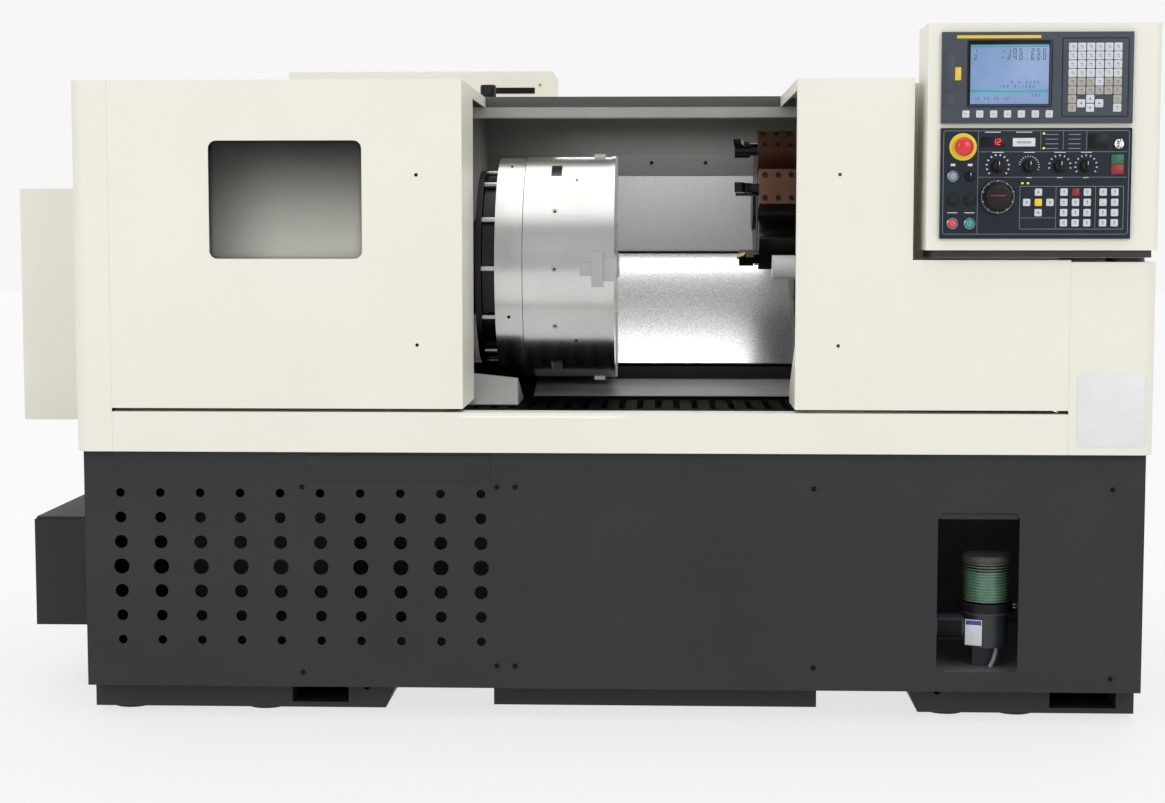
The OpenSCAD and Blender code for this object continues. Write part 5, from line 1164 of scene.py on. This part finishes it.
collar = [(49.6, -20.6), (58.6, -20.6), (59.6, -19.4), (59.6, -1), (58.4, 0.4), (52, 0.4), (51.6, -0.6),
          (49.6, -20.6)]
collar = placed(turned(np.array(collar) * MM, 64), LUBE + [0, 0, RES_Z])
piece("reservoir_collar", collar, knob_black, "machine")

# %% Pump plates
PUMP_TOP = RES_Z - 20 * MM
PLATE_WIDE, PLATE_TALL, PLATE_RUN = 38.4, 59, (13.7, -35.9)
PLATE_FOOT = LUBE + np.array([-16.1 * MM, -47.8 * MM, PUMP_TOP - 75 * MM])
MOTOR_Z = PUMP_TOP - 40 * MM
MOTOR_R, MOTOR_LONG, MOTOR_END, RIM_X = 32.5, 64, -50, (-120, -58)
plate_blue = grained("plate_blue", (0.03, 0.06, 0.25), 0.4, 0.08, 300, 0.00002, 30)


def round_patch(r, start, end, z0, z1, steps=16):
    """Patch on an upright cylinder: r sin a, -r cos a for angles from start to end, between two heights."""
    a = np.radians(np.linspace(start, end, steps))
    outer = np.stack([r * np.sin(a), -r * np.cos(a)], -1)
    edges = ((z0, 0.985), (z0, 1), (z1, 1), (z1, 0.985))
    rows = [np.column_stack([outer * share, np.full(steps, z)]) for z, share in edges]
    return np.concatenate(rows), [grid_faces(4, steps, False)]


lean = math.atan2(*PLATE_RUN)
aslant = np.array([[math.cos(lean), -math.sin(lean), 0], [math.sin(lean), math.cos(lean), 0], [0, 0, 1]])
bare = placed(flat_box((0, -0.5, 0), (PLATE_WIDE, 0.5, PLATE_TALL), 0.3), PLATE_FOOT, aslant)
piece("pump_plate", bare, print_light, "machine")
blue = flat_box((1.5, -0.8, PLATE_TALL - 12), (PLATE_WIDE - 1.5, 0.8, PLATE_TALL - 2), 0.2)
piece("pump_plate_band", placed(blue, PLATE_FOOT, aslant), plate_blue, "machine")
patch = round_patch(MOTOR_R * MM, -38, 38, -MOTOR_LONG * MM, 0)
lying = placed(patch, LUBE + [MOTOR_END * MM, 0, MOTOR_Z], TO_X)
piece("pump_motor_plate", lying, black_and_hole_shade, "machine")
rim = np.array([(30, -1), (33, -0.6), (33.2, 3), (32, 4), (30, 4), (30, -1)]) * MM
rims = [placed(turned(rim), LUBE + [x * MM, 0, MOTOR_Z], TO_X) for x in RIM_X]
piece("pump_motor_rims", joined(*rims), pump_grey, "machine")

# %% Outlet, pipe and lip
brass = ground_steel("brass", (0.72, 0.53, 0.28), 0.3, (300, 300, 300), 0.00002, 0.06)
pipe_clear = grained("pipe_clear", (0.32, 0.36, 0.4), 0.25, 0.1, 300, 0.00002, 40, coat=0.4)
OUTLET_AT = LUBE + [59 * MM, 0, PUMP_TOP + 10 * MM]
PIPE_R, PIPE_AT, PIPE_DROP, PIPE_BEND = 5, (22, -14, -80), 50, 14
outlet = np.array([(0, 13.4), (5, 13.4), (8.4, 12.6), (8.6, 11), (8.6, 1), (8, 0), (0, 0)]) * MM
piece("brass_outlet", placed(turned(outlet, 6), OUTLET_AT, TO_X), brass, "machine")
along = np.linspace(0, 1, 24)[:, None]
route = np.array(PIPE_AT) - along ** 2 * [PIPE_BEND, 0, 0] - along * [0, 0, PIPE_DROP]
pipe = swept(route * MM, circle(PIPE_R * MM), up=(0, 1, 0))
piece("drain_pipe", placed(pipe, LUBE + [0, 0, PUMP_TOP]), pipe_clear, "machine")
LIP_LO, LIP_HI = (852, -748, 462), (1030, -722, 475)
piece("window_lip", flat_box(LIP_LO, LIP_HI, 1), charcoal_enamel, "machine")

# %% [markdown]
# ## Base, roof and back
# Screws hold the base panel, a thin plate closes the hatch over the motor, and a bumper and a cable slot
# sit on the roof. The cabinet's door has two latches. A pale plate sits at the right of the front. Each
# sits on the face that carries it, and that face is read from the frame where a solid's box gives it.

# %% Base
BASE_Y = float(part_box("base_front_panel")[0][1]) / MM
BASE_SCREWS = ((-575, 528), (-577, 105), (-135, 530), (-94, 530), (-136, 123), (-95, 123), (574, 529),
               (576, 124), (1235, 530), (1238, 104))
piece("base_screws", front_screws(5.6, BASE_Y, BASE_SCREWS), black_and_hole_shade, "machine")
HATCH_X, HATCH_Z = (-565.5, -150), (542, 601)
hatch = flat_box((HATCH_X[0], BASE_Y - 1.6, HATCH_Z[0]), (HATCH_X[1], BASE_Y + 0.4, HATCH_Z[1]), 0.7)
piece("hatch_plate", hatch, charcoal_enamel, "machine")

# %% Roof and front corner
TOP_Y = 123.5
ROOF_SCREWS = ((-86.6, 1483.7), (-722, 1474), (-620, 1478), (-540, 1484))
CORNER_Y = float(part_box("front_panels")[0][1]) / MM
BUMPER_AT, NAME_PLATE_AT = np.array([-208, -58, 1435.2]) * MM, np.array([1222, CORNER_Y, 707]) * MM
SLOT_X, SLOT_Z = (-215, -100), (1461, 1477)
NAME_PLATE = np.array([150, 160, 1.2, 12, 0.3]) * MM
# The cable slot is a dark plate: painted shade in the opening.
cable_slot = flat_box((SLOT_X[0], TOP_Y - 0.8, SLOT_Z[0]), (SLOT_X[1], TOP_Y + 0.4, SLOT_Z[1]), 0.3)
piece("cable_slot", cable_slot, black_and_hole_shade, "machine")
piece("roof_screws", front_screws(4, TOP_Y, ROOF_SCREWS), header_grey, "machine")
bumper = turned(np.array([(0, 0), (19, 0), (20, 1.5), (20, 33), (18, 36), (0, 37)]) * MM, 40)
piece("roof_bumper", placed(bumper, BUMPER_AT), knob_black, "machine")
name_plate = grained("name_plate", (0.72, 0.72, 0.72), 0.35, 0.02, 500, 0.00003, 20)
piece("bare_name_plate", placed(slab(*NAME_PLATE), NAME_PLATE_AT), name_plate, "machine")

# %% Latches of the cabinet's door
DOOR_BACK = float(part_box("cabinet_door")[1][1]) / MM
LATCH_X, LATCH_Z = -840, (560, 1190)
TO_BACK = np.array([[-1, 0, 0], [0, 0, 1], [0, 1, 0]], float)
disc = placed(turned(np.array([(0, 6), (13, 6), (15, 4.5), (16, 0), (0, 0)]) * MM, 36), (0, 0, 0), TO_BACK)
slot_bar = flat_box((-2, 5.5, -11), (2, 7.2, 11), 0.6)
latch_places = np.array([(LATCH_X, DOOR_BACK, z) for z in LATCH_Z]) * MM
latches = copies(joined(disc, slot_bar), latch_places)
piece("cabinet_latches", latches, bright_chrome, "cabinet_door")

# %% [markdown]
# ## Inside the cabinet
# Behind the rear door stand two rows of drive units. Each gets a grey case over its solid, a field of vent
# slots drawn as dark plates of painted shade, and a terminal strip, all copied from one unit to the others.

# %% Drive units
CAB_LO, CAB_HI = (np.array(corner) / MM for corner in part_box("electric_cabinet"))
UNIT_WIDE, UNIT_TALL, UNIT_GAP, UNIT_COLUMNS, UNIT_ROWS = 225, 260, 40, 4, 2
UNIT_BACK, UNIT_FRONT, UNIT_OVER = CAB_LO[1] + 5, CAB_LO[1] + 133.3, 0.6
ROW_PITCH = (CAB_HI[2] - CAB_LO[2]) / UNIT_ROWS
VENT_IN, VENT_TALL, VENT_Z = 30, 5, range(130, 236, 11)
TERMINAL_X, TERMINAL_WIDE, TERMINAL_Z = range(24, 190, 16), 14, (20, 52)
unit_grey = grained("unit_grey", (0.3, 0.31, 0.32), 0.45, 0.04, 500, 0.0001, 8)
column, row = np.divmod(np.arange(UNIT_COLUMNS * UNIT_ROWS), UNIT_ROWS)
unit_x = CAB_LO[0] + UNIT_GAP + column * (UNIT_WIDE + UNIT_GAP)
unit_z = CAB_LO[2] + row * ROW_PITCH + (ROW_PITCH - UNIT_TALL) / 2
unit_places = np.column_stack([unit_x, np.zeros(len(unit_x)), unit_z]) * MM
case = flat_box((-UNIT_OVER, UNIT_BACK, -UNIT_OVER),
                (UNIT_WIDE + UNIT_OVER, UNIT_FRONT + 0.8, UNIT_TALL + UNIT_OVER), 2)
piece("drive_cases", copies(case, unit_places), unit_grey, "machine")
# The vent slots are dark plates: painted shade inside the openings.
vents = [flat_box((VENT_IN, UNIT_FRONT, z), (UNIT_WIDE - VENT_IN, UNIT_FRONT + 1.1, z + VENT_TALL), 0.2)
         for z in VENT_Z]
piece("drive_vents", copies(joined(*vents), unit_places), black_and_hole_shade, "machine")
terminals = [flat_box((x, UNIT_FRONT, TERMINAL_Z[0]), (x + TERMINAL_WIDE, UNIT_FRONT + 3, TERMINAL_Z[1]), 1)
             for x in TERMINAL_X]
piece("drive_terminals", copies(joined(*terminals), unit_places), knob_black, "machine")

# %% [markdown]
# ## The floor
# One pale sheet under the machine. It is stage, not part of the object. It gives off some light of its own,
# which brings it to the white of the backdrop, where a brighter lamp would burn out the panels above it.

# %% Floor
FLOOR_HALF, FLOOR_GLOW = 30.0, 0.73
floor_finish = grained("floor_finish", (0.15, 0.15, 0.15), 0.7, 0.01, 60, 0.0001, 2, gloss=0.1)
floor_shader = floor_finish.node_tree.nodes["Principled BSDF"]
floor_shader.inputs["Emission Color"].default_value = (1, 1, 1, 1)
floor_shader.inputs["Emission Strength"].default_value = FLOOR_GLOW
floor_mesh = bpy.data.meshes.new("floor")
corners = [(x * FLOOR_HALF, y * FLOOR_HALF, 0) for x, y in ((-1, -1), (1, -1), (1, 1), (-1, 1))]
floor_mesh.from_pydata(corners, [], [(0, 1, 2, 3)])
floor_mesh.materials.append(floor_finish)
floor = bpy.data.objects.new("floor", floor_mesh)
bpy.context.scene.collection.objects.link(floor)
